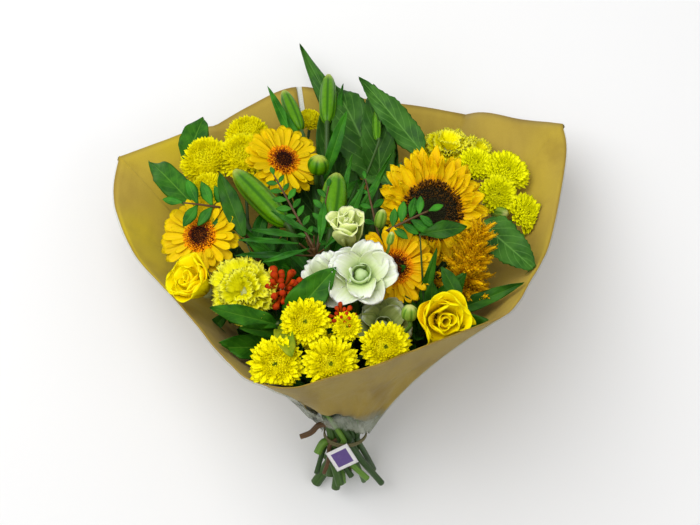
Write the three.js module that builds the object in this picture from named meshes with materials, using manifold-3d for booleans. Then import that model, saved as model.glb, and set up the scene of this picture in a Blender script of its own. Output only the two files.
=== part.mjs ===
// A mixed flower bouquet in a kraft paper wrap and a clear film sleeve, lying on its back.
// Millimetres, +Z up. The stems point to -Y, the heads to +Y, and the paper's back lies on the floor.
// Places are measured from the point of the floor right under the tie; the group is shifted at the end
// so that the origin is the middle of the whole bouquet's footprint.
import * as THREE from "three";
import { mergeVertices } from "three/addons/utils/BufferGeometryUtils.js";
import Module from "manifold-3d";

const wasm = await Module();
wasm.setup();

// ---------------------------------------------------------------- driving dimensions
const NECK_HEIGHT = 72; // centre of the tie above the floor
const AXIS_RISE = THREE.MathUtils.degToRad(45); // the bouquet's axis above the floor
const SPIRAL = 0.065; // winding of the hand-tied stems above the tie, per millimetre
const TAIL_SPIRAL = 0.033; // winding of the cut ends below the tie, per millimetre
const BUNDLE_RADIUS = 21; // stems inside the tie
const TIE = { width: 7, thickness: 1.6 };
const GAP = 0.4; // between pieces that press on each other
const CUT = 0.55; // a petal or leaf is cut this far clear of whatever it would run into
const SEAT = 0.3; // between a bloom and the top of its stem
const FILM = { thickness: 0.7, neck: BUNDLE_RADIUS + TIE.thickness + GAP + 1.2, skirt: 31, below: 16, beyond: 0.008 };
const PAPER_THICKNESS = 0.9;
const TIE_REACH = 5; // the stems run side by side this far above and below the tie
const STEM_LEAD = 24; // straight stretch of stem right under a bloom
const ORIGIN = new THREE.Vector3(5.545, -183.96, 0); // puts the footprint's middle on the origin

const V = (x, y, z) => new THREE.Vector3(x, y, z);
const TURN = 2 * Math.PI;
const NECK = V(0, 0, NECK_HEIGHT);
const ALONG = V(0, Math.cos(AXIS_RISE), Math.sin(AXIS_RISE)); // the bouquet's axis, tie to heads
const FRONT = V(0, -Math.sin(AXIS_RISE), Math.cos(AXIS_RISE)); // across the axis, away from the floor
const ACROSS = V(1, 0, 0);

const neckPoint = (p, q, h) =>
  NECK.clone().addScaledVector(ACROSS, p).addScaledVector(FRONT, q).addScaledVector(ALONG, h);

// ---------------------------------------------------------------- solids
function solidOf(points, triangles) {
  const geometry = new THREE.BufferGeometry();
  geometry.setAttribute("position", new THREE.Float32BufferAttribute(points.flatMap((p) => p.toArray()), 3));
  geometry.setIndex(triangles.flat());
  return solidOfGeometry(geometry);
}

function solidOfGeometry(geometry) {
  geometry.deleteAttribute("normal");
  geometry.deleteAttribute("uv");
  const merged = mergeVertices(geometry, 1e-4);
  const mesh = new wasm.Mesh({
    numProp: 3,
    vertProperties: merged.attributes.position.array,
    triVerts: new Uint32Array(merged.index.array),
  });
  const solid = new wasm.Manifold(mesh);
  if (solid.volume() >= 0) return solid;
  mesh.triVerts = mesh.triVerts.map((_, i, all) => all[i - (i % 3) + 2 - (i % 3)]);
  return new wasm.Manifold(mesh);
}

function geometryOf(solid) {
  const mesh = solid.getMesh();
  const geometry = new THREE.BufferGeometry();
  geometry.setAttribute("position", new THREE.BufferAttribute(mesh.vertProperties, 3));
  geometry.setIndex(new THREE.BufferAttribute(mesh.triVerts, 1));
  return geometry;
}

const fuse = (solids) => wasm.Manifold.union(solids);
const largest = (solid) => solid.decompose().sort((a, b) => b.volume() - a.volume())[0];

// The solid grown on all sides, to cut its neighbours clear of it: every corner moves out far enough
// to take each of its faces along.
function grown(solid, by) {
  const { vertProperties, triVerts } = solid.getMesh();
  const corners = Array.from({ length: vertProperties.length / 3 }, (_, i) => V(...vertProperties.slice(3 * i, 3 * i + 3)));
  const faces = Array.from({ length: triVerts.length / 3 }, (_, i) => [...triVerts.slice(3 * i, 3 * i + 3)]);
  const normals = corners.map(() => []);
  for (const [a, b, c] of faces) {
    const area = corners[b].clone().sub(corners[a]).cross(corners[c].clone().sub(corners[a]));
    for (const i of [a, b, c]) normals[i].push(area);
  }
  const moved = corners.map((corner, i) => {
    const mean = normals[i].reduce((sum, area) => sum.add(area), V(0, 0, 0)).normalize();
    const least = Math.min(...normals[i].map((area) => mean.dot(area) / (area.length() || 1)));
    return corner.clone().addScaledVector(mean, by / Math.max(0.3, least));
  });
  return solidOf(moved, faces).add(solid);
}

// Closed skin over rings of points. A ring with one point is a tip.
function loft(rings) {
  const points = rings.flat();
  const first = [];
  rings.reduce((sum, ring, i) => ((first[i] = sum), sum + ring.length), 0);
  const faces = [];
  for (let r = 0; r + 1 < rings.length; r++) {
    const [a, b, na, nb] = [first[r], first[r + 1], rings[r].length, rings[r + 1].length];
    const n = Math.max(na, nb);
    for (let i = 0; i < n; i++) {
      const j = (i + 1) % n;
      if (na === 1) faces.push([a, b + j, b + i]);
      else if (nb === 1) faces.push([a + i, a + j, b]);
      else faces.push([a + i, a + j, b + j], [a + i, b + j, b + i]);
    }
  }
  for (const [ring, flip] of [[0, true], [rings.length - 1, false]]) {
    for (let i = 1; i + 1 < rings[ring].length; i++) {
      const face = [first[ring], first[ring] + i, first[ring] + i + 1];
      faces.push(flip ? face.reverse() : face);
    }
  }
  return solidOf(points, faces);
}

// A tube through the points, one ring of corners at each.
function tube(points, radii, sides) {
  const normal = V(0, 0, 1);
  const rings = points.map((point, i) => {
    const next = points[Math.min(i + 1, points.length - 1)];
    const last = points[Math.max(i - 1, 0)];
    const along = next.clone().sub(last).normalize();
    normal.addScaledVector(along, -normal.dot(along)).normalize();
    const side = along.clone().cross(normal);
    return Array.from({ length: sides }, (_, k) => {
      const angle = (TURN * k) / sides;
      return point
        .clone()
        .addScaledVector(normal, radii[i] * Math.cos(angle))
        .addScaledVector(side, radii[i] * Math.sin(angle));
    });
  });
  return loft(rings);
}

// A leaf or petal with a lens section: a spine of points, half its width at each, and a fold that
// lifts its edges. It ends in a point.
function blade(spine, widths, up, thickness = 1.2, fold = 0.15) {
  const rings = spine.map((point, i) => {
    const next = spine[Math.min(i + 1, spine.length - 1)];
    const last = spine[Math.max(i - 1, 0)];
    const along = next.clone().sub(last).normalize();
    const side = along.clone().cross(up).normalize();
    const face = side.clone().cross(along);
    if (i === spine.length - 1) return [point.clone()];
    const lift = fold * widths[i];
    const edge = (sign) =>
      point.clone().addScaledVector(side, sign * widths[i]).addScaledVector(face, lift);
    return [
      edge(1),
      point.clone().addScaledVector(face, thickness / 2),
      edge(-1),
      point.clone().addScaledVector(face, -thickness / 2),
    ];
  });
  return loft(rings);
}

// A body of rings round the +Z axis. Each ring gives [radius, height] at a share of the turn.
function turned(corners, foot, rings, tip) {
  const skins = rings.map((ring, k) =>
    Array.from({ length: corners }, (_, i) => {
      const [radius, height] = typeof ring === "function" ? ring(i / corners, i, k) : ring;
      const angle = (TURN * i) / corners;
      return V(radius * Math.cos(angle), radius * Math.sin(angle), height);
    }),
  );
  return loft([[V(0, 0, foot)], ...skins, [V(0, 0, tip)]]);
}

// A ring whose every second corner stands out and up, and the next back and down.
const scaled = (radius, height, out, up = 0) => (share, i, k) => {
  const sign = (i + k) % 2 ? -1 : 1;
  return [radius + sign * out, height + sign * up];
};

// A ring with round lobes, for the lip of a cup of petals.
const lobed = (radius, height, lobes, out, up, phase = 0) => (share) => {
  const wave = Math.cos(TURN * (lobes * share + phase));
  return [radius + wave * out, height + wave * up];
};

// The edge of a ring of blunt ray petals, three corners to a petal, every second petal lower.
const rayEdge = (notch, tip, height, drop) => (share, i) => {
  const petal = Math.floor((i + 2) / 3);
  const low = petal % 2 ? drop : 0;
  return i % 3 === 0 ? [notch, height - drop] : [tip - low * 0.6, height - low];
};

// ---------------------------------------------------------------- blooms, foot at the origin, facing +Z
// Each gives its solids by colour, the height of its face, and the flare of green at the top of its
// stem as [distance past the foot, radius].

const gerbera = (r) => ({
  petals: turned(45, 6, [[0.34 * r, 6.4], rayEdge(0.6 * r, r, 10.4, 2.4), [0.42 * r, 9.2]], 9),
  eye: turned(14, 9.75, [[0.3 * r, 10.1], scaled(0.35 * r, 11.2, 0.8), scaled(0.24 * r, 12.2, 0.7, 0.4)], 12),
  cap: [[-4, 3], [3, 0.22 * r], [6 - SEAT, 0.26 * r]],
  face: 9,
});

const sunflower = (r) => ({
  petals: turned(54, 8, [[0.5 * r, 8.6], rayEdge(0.72 * r, r, 17, 3.2), [0.62 * r, 13]], 12.6),
  disc: turned(20, 13.6, [
    [0.46 * r, 14.2], scaled(0.56 * r, 16, 1.2, 0.4), scaled(0.46 * r, 18.4, 1, 0.6), scaled(0.3 * r, 18.2, 0.9, 0.6),
    scaled(0.15 * r, 16.6, 0.6, 0.4),
  ], 15.6),
  cap: [[-8, 5], [1, 0.2 * r], [8 - SEAT, 0.3 * r]],
  face: 15,
});

// A ball chrysanthemum: florets as staggered scales that stand out of the whole head.
const pompon = (r) => ({
  petals: turned(12, 0, [
    [0.36 * r, 0.12 * r], scaled(0.82 * r, 0.22 * r, 0.08 * r), scaled(0.96 * r, 0.5 * r, 0.07 * r), scaled(0.86 * r, 0.8 * r, 0.07 * r, 0.03 * r),
    scaled(0.6 * r, 1.04 * r, 0.06 * r, 0.05 * r), scaled(0.28 * r, 1.18 * r, 0.04 * r, 0.05 * r),
  ], 1.16 * r),
  cap: [[-4, 1.8], [-SEAT, 3]],
  face: 0.9 * r,
});

// A spray chrysanthemum: ray petals round a dome of florets.
const spray = (r) => ({
  petals: turned(20, 0, [
    [0.24 * r, 0.06 * r], scaled(0.86 * r, 0.26 * r, 0.14 * r, 0.03 * r), [0.52 * r, 0.24 * r], scaled(0.54 * r, 0.4 * r, 0.04 * r, 0.02 * r),
    scaled(0.28 * r, 0.54 * r, 0.03 * r, 0.03 * r),
  ], 0.54 * r),
  cap: [[-5, 1.8], [-SEAT, 3.4]],
  face: 0.3 * r,
});

// A rose: three tiers of lobed petal lips, one inside the other.
const rose = (r) => ({
  petals: turned(15, 0, [
    [0.34 * r, 0.08 * r], lobed(0.8 * r, 0.5 * r, 5, 0.05 * r, 0), lobed(0.98 * r, 0.98 * r, 5, 0.06 * r, -0.08 * r),
    lobed(0.66 * r, 0.84 * r, 5, 0.04 * r, 0), lobed(0.68 * r, 1.18 * r, 5, 0.05 * r, -0.05 * r, 0.5), [0.42 * r, 0.92 * r],
    lobed(0.42 * r, 1.26 * r, 3, 0.05 * r, -0.04 * r, 0.2), [0.2 * r, 1.04 * r],
  ], 1.26 * r),
  cap: [[-9, 3], [-4, 5.5], [-SEAT, 0.26 * r]],
  face: 0.98 * r,
});

// A carnation: tiers of petals with zigzag edges, over a slim calyx.
const carnation = (r) => ({
  petals: turned(20, 0, [
    [0.16 * r, 0.04 * r], scaled(0.94 * r, 0.4 * r, 0.06 * r, 0.07 * r), [0.56 * r, 0.42 * r], scaled(0.74 * r, 0.68 * r, 0.06 * r, 0.06 * r),
    [0.34 * r, 0.6 * r], scaled(0.42 * r, 0.86 * r, 0.06 * r, 0.05 * r), [0.14 * r, 0.7 * r],
  ], 0.88 * r),
  cap: [[-0.7 * r, 2.4], [-0.5 * r, 0.14 * r], [-SEAT, 0.16 * r]],
  face: 0.6 * r,
});

const smallCarnation = (r) => ({
  petals: turned(18, 0, [
    [0.16 * r, 0.04 * r], scaled(0.92 * r, 0.46 * r, 0.08 * r, 0.08 * r), [0.46 * r, 0.5 * r], scaled(0.56 * r, 0.84 * r, 0.07 * r, 0.06 * r), [0.2 * r, 0.66 * r],
  ], 0.9 * r),
  cap: [[-0.7 * r, 1.8], [-0.5 * r, 0.15 * r], [-SEAT, 0.17 * r]],
  face: 0.6 * r,
});

// A lisianthus: a bell of five lobed petals round an inner whorl; open is 1 in full bloom, 0 in bud.
function lisianthus(r, open = 1) {
  const mix = (shut, wide) => (shut + (wide - shut) * open) * r;
  return {
    petals: turned(15, 0, [
      [0.2 * r, 0.04 * r], [mix(0.5, 0.52), mix(0.7, 0.34)], lobed(mix(0.62, 0.93), mix(1.6, 0.9), 5, 0.07 * r, mix(0.02, -0.06)),
      [mix(0.36, 0.6), mix(1.4, 0.62)], lobed(mix(0.36, 0.6), mix(1.76, 1), 5, 0.06 * r, -0.04 * r, 0.5), [mix(0.14, 0.26), mix(1.5, 0.6)],
    ], mix(1.72, 0.74)),
    cap: [[-7, 2.4], [-SEAT, 0.17 * r]],
    face: mix(1.2, 0.7),
  };
}

// A long bud with ridges; every second corner of its section stands out.
function bud(r, length, ridge = 0.1) {
  const stations = [[0.4, 0.97], [0.94, 0.68], [0.92, 0.26], [0.4, -0.03]];
  const rings = stations.map(([share, height]) =>
    Array.from({ length: 6 }, (_, i) => {
      const angle = (TURN * i) / 6;
      const radius = r * share * (1 + (i % 2 ? -ridge : ridge));
      return V(radius * Math.cos(angle), radius * Math.sin(angle), length * height);
    }),
  );
  return loft([...rings.reverse(), [V(0, 0, length * 1.02)]]);
}

// A plume of fine florets: rings of spikes, each ring turned half a step from the last.
const plume = (length, r) => ({
  petals: turned(14, 0, [0.06, 0.2, 0.34, 0.47, 0.59, 0.7, 0.8, 0.89, 0.96].map((share, k) => {
    const waist = r * Math.sin(Math.PI * (0.12 + 0.8 * share)) ** 0.8;
    return scaled(0.72 * waist, length * share, 0.34 * waist, 0.02 * length);
  }), length),
  cap: [[-6, 3], [-SEAT, 3.6]],
  face: 0.5 * length,
});

// A cluster of club-shaped buds on a common knob.
function clubCluster(r, count) {
  const knob = turned(6, 0, [[2.4, 0.4], [0.28 * r, 0.3 * r]], 0.5 * r);
  const clubs = Array.from({ length: count }, (_, i) => {
    const angle = i * 2.39996;
    const lean = 1.3 * Math.sqrt((i + 0.4) / count);
    const out = V(Math.sin(lean) * Math.cos(angle), Math.sin(lean) * Math.sin(angle), Math.cos(lean));
    const at = (share) => out.clone().multiplyScalar(share * r).add(V(0, 0, 0.2 * r));
    return tube([at(0.1), at(0.6), at(0.84), at(1)], [0.06 * r, 0.08 * r, 0.17 * r, 0.08 * r], 4);
  });
  return { petals: fuse([knob, ...clubs]), cap: [[-4, 1.6], [-SEAT, 2.4]], face: 0.8 * r };
}

// ---------------------------------------------------------------- layout, as seen from above
// at: the middle of the bloom's face; faces: how far its axis leans to +X and +Y, per unit of rise.
const facing = ([x, y]) => V(x, y, 1).normalize();

const head = (name, make, at, faces, radius = 2, clear = 18) => {
  const bloom = make();
  const out = facing(faces);
  const joint = V(...at).addScaledVector(out, -bloom.face);
  return { name, bloom, out, joint, radius, clear };
};

// from: the share of the main stem where a leaf or a branch leaves it.
const leaf = (from, tip, width, extra = {}) => ({ from, tip: V(...tip), width, ...extra });
const toothed = { teeth: 0.16, rows: 7 };
const big = { ...toothed, fold: 0.22 };

const plants = [
  {
    name: "sunflower", radius: 5.5, tail: 54, heads: [head("sunflower", () => sunflower(57), [86, 209, 182], [0.05, 0], 5.5, 30)],
    leaves: [
      leaf(0.72, [186, 143, 200], 21, { ...big, bend: 16 }),
      
    ],
  },
  { name: "gerbera_top", radius: 3, tail: 50, heads: [head("gerbera_top", () => gerbera(41), [-63, 274, 128], [0.3, 0.35], 3, 14)] },
  { name: "gerbera_left", radius: 3, tail: 46, heads: [head("gerbera_left", () => gerbera(42), [-142, 184, 186], [-0.3, 0.1], 3, 14)] },
  { name: "gerbera_centre", radius: 3, tail: 52, heads: [head("gerbera_centre", () => gerbera(41), [49, 148, 214], [0.3, -0.05], 3, 14)] },
  {
    name: "pompon", radius: 3, tail: 44, fork: [-112, 236, 82],
    heads: [
      head("pompon_a", () => pompon(25), [-149, 288, 95], [-0.2, 0.3]), head("pompon_b", () => pompon(24), [-107, 292, 99], [0, 0.3]),
      head("pompon_c", () => pompon(22), [-105, 327, 59], [0, 0.6]), head("pompon_d", () => pompon(16), [-146, 250, 115], [-0.4, 0.2]),
      head("pompon_e", () => pompon(14), [-40, 347, 33], [0, 0.8]),
    ],
    leaves: [leaf(0.8, [-206, 284, 92], 12, { bend: 18 }), leaf(0.86, [-156, 334, 62], 14, { bend: 6 })],
  },
  {
    name: "santini", radius: 3, tail: 50, fork: [-24, 52, 222],
    heads: [
      head("santini_a", () => spray(24.5), [-36, 86, 272], [0, -0.05]), head("santini_b", () => spray(27), [-62, 47, 276], [-0.15, -0.1]),
      head("santini_c", () => spray(27), [-12, 46, 286], [0, -0.1]), head("santini_d", () => spray(25), [37, 63, 274], [0.15, -0.1]),
      head("santini_e", () => spray(15), [2, 82, 270], [0.1, 0]), head("santini_f", () => spray(17), [-22, 66, 252], [0, 0]),
    ],
  },
  {
    name: "chrysanthemum", radius: 2.6, tail: 40, fork: [138, 222, 100],
    heads: [
      head("chrysanthemum_a", () => spray(20), [136, 272, 112], [0.2, 0.45]), head("chrysanthemum_b", () => spray(24), [166, 264, 115], [0.4, 0.4]),
      head("chrysanthemum_c", () => spray(21), [155, 236, 132], [0.3, 0]), head("chrysanthemum_d", () => spray(21), [182, 214, 143], [0.7, 0.2]),
    ],
    buds: [[[150, 220, 128], [164, 214, 143], 7]],
  },
  { name: "carnation_left", radius: 2.5, tail: 48, heads: [head("carnation_left", () => carnation(31), [-96, 124, 236], [-0.05, 0.05], 2.5, 22)] },
  {
    name: "carnation_right", radius: 2.5, tail: 42, fork: [98, 250, 76],
    heads: [
      head("carnation_right_a", () => smallCarnation(24), [110, 303, 88], [0.1, 0.6]),
      head("carnation_right_b", () => smallCarnation(18), [141, 298, 82], [0.5, 0.6]),
    ],
  },
  { name: "rose_left", radius: 3.2, tail: 50, heads: [head("rose_left", () => rose(23), [-146, 133, 214], [-0.6, 0.35], 3.2, 18)] },
  {
    name: "rose_right", radius: 3.2, tail: 53, heads: [head("rose_right", () => rose(26), [92, 90, 257], [0.15, -0.25], 3.2, 20)],
    leaves: [leaf(0.66, [88, 165, 224], 6, { bend: 8 }), leaf(0.74, [116, 142, 222], 12, { bend: 4 }), leaf(0.84, [172, 132, 219], 8, { bend: -4 }), leaf(0.8, [142, 88, 244], 12, { bend: 4 })],
  },
  {
    name: "lisianthus", radius: 3, tail: 46, fork: [10, 118, 190],
    heads: [
      head("lisianthus_centre", () => lisianthus(33), [16, 137, 249], [0.05, 0.1]), head("lisianthus_half", () => lisianthus(20, 0.12), [2, 184, 222], [0, 0.75]),
      head("lisianthus_left", () => lisianthus(27), [-20, 133, 232], [-0.5, 0.1]), head("lisianthus_low", () => lisianthus(27), [37, 92, 230], [0.1, 0.2]),
    ],
    buds: [[[33, 188, 200], [37, 206, 206], 6.5], [[42, 166, 232], [45, 177, 240], 4], [[60, 92, 246], [61, 104, 256], 8.5]],
  },
  {
    name: "club_buds", radius: 2.4, tail: 38, fork: [-40, 104, 212],
    heads: [head("club_buds_left", () => clubCluster(24, 8), [-57, 128, 240], [0.1, 0.2]), head("club_buds_front", () => clubCluster(15, 5), [-3, 92, 278], [0, 0])],
  },
  { name: "plume", radius: 3.4, tail: 48, heads: [head("plume", () => plume(86, 29), [122, 156, 208], [0.3, 1.2], 3.4, 20)] },
  {
    name: "lily_back", radius: 4.4, tail: 53, fork: [-26, 268, 100],
    buds: [[[-19, 322, 92], [-18, 386, 56], 10], [[-47, 318, 80], [-67, 369, 52], 9], [[33, 296, 112], [33, 334, 80], 4], [[-28, 258, 138], [-26, 272, 152], 12]],
    leaves: [
      leaf(0.9, [-84, 372, 62], 7, { bend: 8 }), leaf(0.94, [2, 330, 118], 7, { bend: 10 }), leaf(0.88, [-62, 330, 108], 7, { bend: 8 }),
      leaf(0.92, [-2, 372, 70], 6, { bend: 6 }),
    ],
  },
  {
    name: "lily_front", radius: 4.4, tail: 55, fork: [-30, 150, 176],
    buds: [[[-58, 195, 184], [-113, 261, 136], 13.5], [[-14, 189, 194], [-8, 250, 170], 14.5]],
    leaves: [leaf(0.8, [-96, 176, 206], 7, { bend: 8 }), leaf(0.9, [20, 236, 196], 7, { bend: 10 })],
  },
  {
    name: "sunflower_leaves", radius: 4.6, tail: 44, fork: [38, 272, 96],
    leaves: [
      leaf(0.94, [-50, 426, 34], 13, { bend: -18 }), leaf(0.96, [3, 371, 56], 25, { ...big, bend: 20 }), leaf(0.98, [46, 236, 164], 24, { ...big, bend: 26 }),
      leaf(0.96, [30, 371, 76], 20, { ...big, bend: 34 }), leaf(0.94, [92, 326, 98], 20, { ...big, bend: 16 }),
    ],
  },
  {
    name: "ruscus", radius: 2.2, tail: 36, fork: [-64, 92, 226],
    leaves: [
      leaf(0.94, [-8, 141, 252], 17, { bend: 8 }), leaf(0.98, [-126, 102, 256], 10, { bend: 8 }), leaf(0.98, [-47, 52, 296], 6, { bend: 30 }),
      leaf(0.8, [-128, 66, 236], 13, { bend: 4 }), leaf(0.7, [-100, 150, 206], 9, { bend: 6 }),
    ],
  },
  { name: "pistacia_left", radius: 2.1, tail: 34, fork: [-109, 210, 184], frond: { tip: [-162, 202, 200], pairs: 5, leaflet: 20 } },
  { name: "pistacia_middle", radius: 2.1, tail: 42, fork: [-30, 168, 206], frond: { tip: [-58, 234, 190], pairs: 6, leaflet: 20 } },
  { name: "pistacia_right", radius: 2.1, tail: 38, fork: [40, 182, 218], frond: { tip: [84, 198, 226], pairs: 4, leaflet: 20 } },
];

// ---------------------------------------------------------------- the wrap
// The paper's rim, from the slit at the back round by the right corner, the front and the left corner.
// Points of the back that lie under the floor here are pressed flat on it.
const RIM = [
  [-55, 387, -104], [2, 376, -104], [60, 368, -90], [110, 360, -50], [147, 352, 22], [192, 335, 54], [230, 321, 88],
  [230, 284, 110], [211, 205, 160], [199, 168, 185], [182, 138, 210], [158, 101, 240], [127, 84, 262], [79, 63, 286],
  [48, 50, 298], [25, 39, 308], [-8, 31, 306], [-48, 22, 296], [-87, 31, 274], [-113, 54, 252], [-139, 86, 225],
  [-168, 120, 198], [-210, 168, 160], [-233, 215, 125], [-241, 250, 102], [-239, 288, 80], [-200, 310, 54],
  [-159, 334, 24], [-106, 366, -76],
].map((point) => V(...point));

const inNeckFrame = (point) => {
  const reach = point.clone().sub(NECK);
  const [p, q, h] = [reach.dot(ACROSS), reach.dot(FRONT), reach.dot(ALONG)];
  return { p, q, h, lateral: Math.hypot(p, q), angle: Math.atan2(q, p) };
};
const RIM_FRAME = RIM.map(inNeckFrame);
const flare = (share) => share * (0.6 + 0.4 * share);
const wrapRadius = (rim, share) => FILM.neck + (rim.lateral - FILM.neck) * flare(share);

// The paper's lower edge is cut higher on the left, and lets the sleeve show there.
const paperLow = (rim) => 12 + 34 * THREE.MathUtils.smoothstep(-rim.p, -30, 60);

// The outer face of the sleeve: rings from its lower edge by the tie to its rim.
const wrapRows = [
  (rim) => [FILM.skirt, -FILM.below],
  (rim) => [FILM.neck, 0],
  ...[0, 0.22, 0.52, 1].map((part) => (rim) => {
    const low = paperLow(rim) / rim.h;
    const share = low + (1 - low) * part;
    return [wrapRadius(rim, share), rim.h * share];
  }),
];

function wrapSkin(rows, inward, beyond = 0) {
  const ringOf = (row, k) => RIM_FRAME.map((rim) => {
    const reach = k === rows.length - 1 ? 1 + beyond : 1; // the sleeve stands a little past the paper
    const [radius, rise] = row(rim).map((x) => x * reach);
    const point = neckPoint((rim.p / rim.lateral) * radius, (rim.q / rim.lateral) * radius, rise);
    point.z = Math.max(point.z, 0); // pressed flat on the floor
    return point;
  });
  const base = rows.map(ringOf);
  const n = RIM.length;
  return base.map((ring, r) =>
    ring.map((point, i) => {
      const round = ring[(i + 1) % n].clone().sub(ring[(i + n - 1) % n]);
      const rise = base[Math.min(r + 1, base.length - 1)][i].clone().sub(base[Math.max(r - 1, 0)][i]);
      const normal = round.cross(rise).normalize();
      const moved = point.clone().addScaledVector(normal, inward);
      moved.z = Math.max(moved.z, inward);
      return moved;
    }),
  );
}

function wrapSheet(rows, inward, thickness, beyond) {
  const n = RIM.length;
  const skins = [wrapSkin(rows, inward, beyond), wrapSkin(rows, inward + thickness, beyond)];
  const half = n * rows.length;
  const faces = [];
  const quad = (a, b, c, d) => faces.push([a, b, c], [a, c, d]);
  for (let i = 0; i < n; i++) {
    const j = (i + 1) % n;
    for (let r = 0; r + 1 < rows.length; r++) {
      quad(r * n + i, r * n + j, (r + 1) * n + j, (r + 1) * n + i);
      quad(half + (r + 1) * n + j, half + r * n + j, half + r * n + i, half + (r + 1) * n + i);
    }
    const last = (rows.length - 1) * n;
    quad(i, half + i, half + j, j);
    quad(last + j, half + last + j, half + last + i, last + i);
  }
  return solidOf(skins.flat(2), faces);
}

// Keeps a point inside the wrap by a margin.
function keepInside(point, margin) {
  const { p, q, h, lateral, angle } = inNeckFrame(point);
  if (h > 4) {
    const i = RIM_FRAME.findIndex((rim, k) => {
      const next = RIM_FRAME[(k + 1) % RIM.length].angle;
      const span = (next - rim.angle + 3 * Math.PI) % TURN - Math.PI;
      const offset = (angle - rim.angle + 3 * Math.PI) % TURN - Math.PI;
      return span > 0 ? offset >= 0 && offset <= span : offset <= 0 && offset >= span;
    });
    const [a, b] = [RIM_FRAME[i], RIM_FRAME[(i + 1) % RIM.length]];
    const low = Math.min(...[a, b].map((rim) => wrapRadius(rim, Math.min(1, h / rim.h))));
    const most = Math.max(4, low - 2 * margin - 1);
    if (lateral > most) point.copy(neckPoint((p * most) / lateral, (q * most) / lateral, h));
  }
  point.z = Math.max(point.z, h > 4 ? margin + 2.6 : 1.12 * margin);
}

// The V slit in the middle of the back edge, where the sheet's two ends meet.
function slit(width, depth) {
  const shape = new THREE.Shape([new THREE.Vector2(-width, 12), new THREE.Vector2(width, 12), new THREE.Vector2(0, -depth)]);
  const prism = new THREE.ExtrudeGeometry(shape, { depth: 60, bevelEnabled: false });
  return solidOfGeometry(prism.translate(RIM[0].x, RIM[0].y, -5));
}

const film = wrapSheet(wrapRows, 0, FILM.thickness, FILM.beyond);
const paper = wrapSheet(wrapRows.slice(2), FILM.thickness + 2.2 * GAP, PAPER_THICKNESS, 0).subtract(slit(2.4, 34));

// The band round the stems, and the flat sachet tucked under the sleeve's lower edge.
function band() {
  const sides = 18;
  const inner = (BUNDLE_RADIUS - 0.45) / Math.cos(Math.PI / sides);
  const outer = inner + TIE.thickness;
  const geometry = new THREE.LatheGeometry(
    [[inner, -TIE.width / 2], [outer, -TIE.width / 2], [outer, TIE.width / 2], [inner, TIE.width / 2], [inner, -TIE.width / 2]]
      .map(([x, y]) => new THREE.Vector2(x, y)),
    sides,
  );
  geometry.rotateX(AXIS_RISE); // the lathe's +Y axis onto the bouquet's axis
  return solidOfGeometry(geometry.translate(NECK.x, NECK.y, NECK.z));
}

function sachet() {
  const plate = new THREE.BoxGeometry(25, 25, 1.6).rotateZ(Math.PI / 4); // a corner points down the stems
  plate.rotateX(Math.PI / 2 - 0.17).applyMatrix4(new THREE.Matrix4().makeBasis(ACROSS, FRONT.clone().negate(), ALONG));
  const at = neckPoint(-3, 27.8, -24);
  return solidOfGeometry(plate.translate(at.x, at.y, at.z));
}

// ---------------------------------------------------------------- stem routes
// Each line is a stem or a branch. Its last two points are held by its bloom; the rest give way.
const lines = [];
for (const plant of plants) {
  const single = plant.heads?.length === 1 && !plant.fork ? plant.heads[0] : null;
  const top = single ? single.joint : V(...plant.fork);
  const out = single ? single.out : top.clone().sub(NECK).normalize();
  plant.main = { plant, head: single, radius: plant.radius, points: [], top, lead: top.clone().addScaledVector(out, -STEM_LEAD) };
  lines.push(plant.main);
}

// A stem's place in the tie: where the straight hand-tied line to its head passes the tie.
for (const line of lines) {
  const reach = line.lead.clone().sub(NECK);
  const [p, q, h] = [reach.dot(ACROSS), reach.dot(FRONT), reach.dot(ALONG)];
  const wind = SPIRAL * h;
  line.slot = [(p + wind * q) / (1 + wind * wind), (q - wind * p) / (1 + wind * wind)];
}

// Packs the stems' places in the tie so that none overlaps and all stay inside it.
for (let round = 0; round < 900; round++) {
  const pull = round < 700 ? 0.992 : 1;
  for (const line of lines) {
    const most = BUNDLE_RADIUS - line.radius - 0.7;
    const shrink = Math.min(pull, most / Math.hypot(...line.slot));
    line.slot = line.slot.map((x) => x * shrink);
  }
  lines.forEach((a, i) => {
    for (const b of lines.slice(i + 1)) {
      const [x, y] = [b.slot[0] - a.slot[0], b.slot[1] - a.slot[1]];
      const distance = Math.hypot(x, y) || 1e-6;
      const push = (a.radius + b.radius + GAP - distance) / 2;
      if (push <= 0) continue;
      a.slot = [a.slot[0] - (x / distance) * push, a.slot[1] - (y / distance) * push];
      b.slot = [b.slot[0] + (x / distance) * push, b.slot[1] + (y / distance) * push];
    }
  });
}

for (const line of lines) {
  const [p, q] = line.slot;
  const tail = (h) => neckPoint(p - TAIL_SPIRAL * h * q, q + TAIL_SPIRAL * h * p, h);
  const [under, over] = [-TIE_REACH, TIE_REACH].map((h) => neckPoint(p, q, h)); // straight through the tie
  const between = (share) => over.clone().lerp(line.lead, share);
  // cut where the end comes out as far as wanted from the tie, or where it meets the floor
  let length = 30;
  while (tail(-length).y > -line.plant.tail && tail(-length).z > 1.2 * line.radius) length += 1;
  line.points = [tail(-length), tail(-length / 2), under, over, between(0.28), between(0.64), line.lead, line.top];
}

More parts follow.
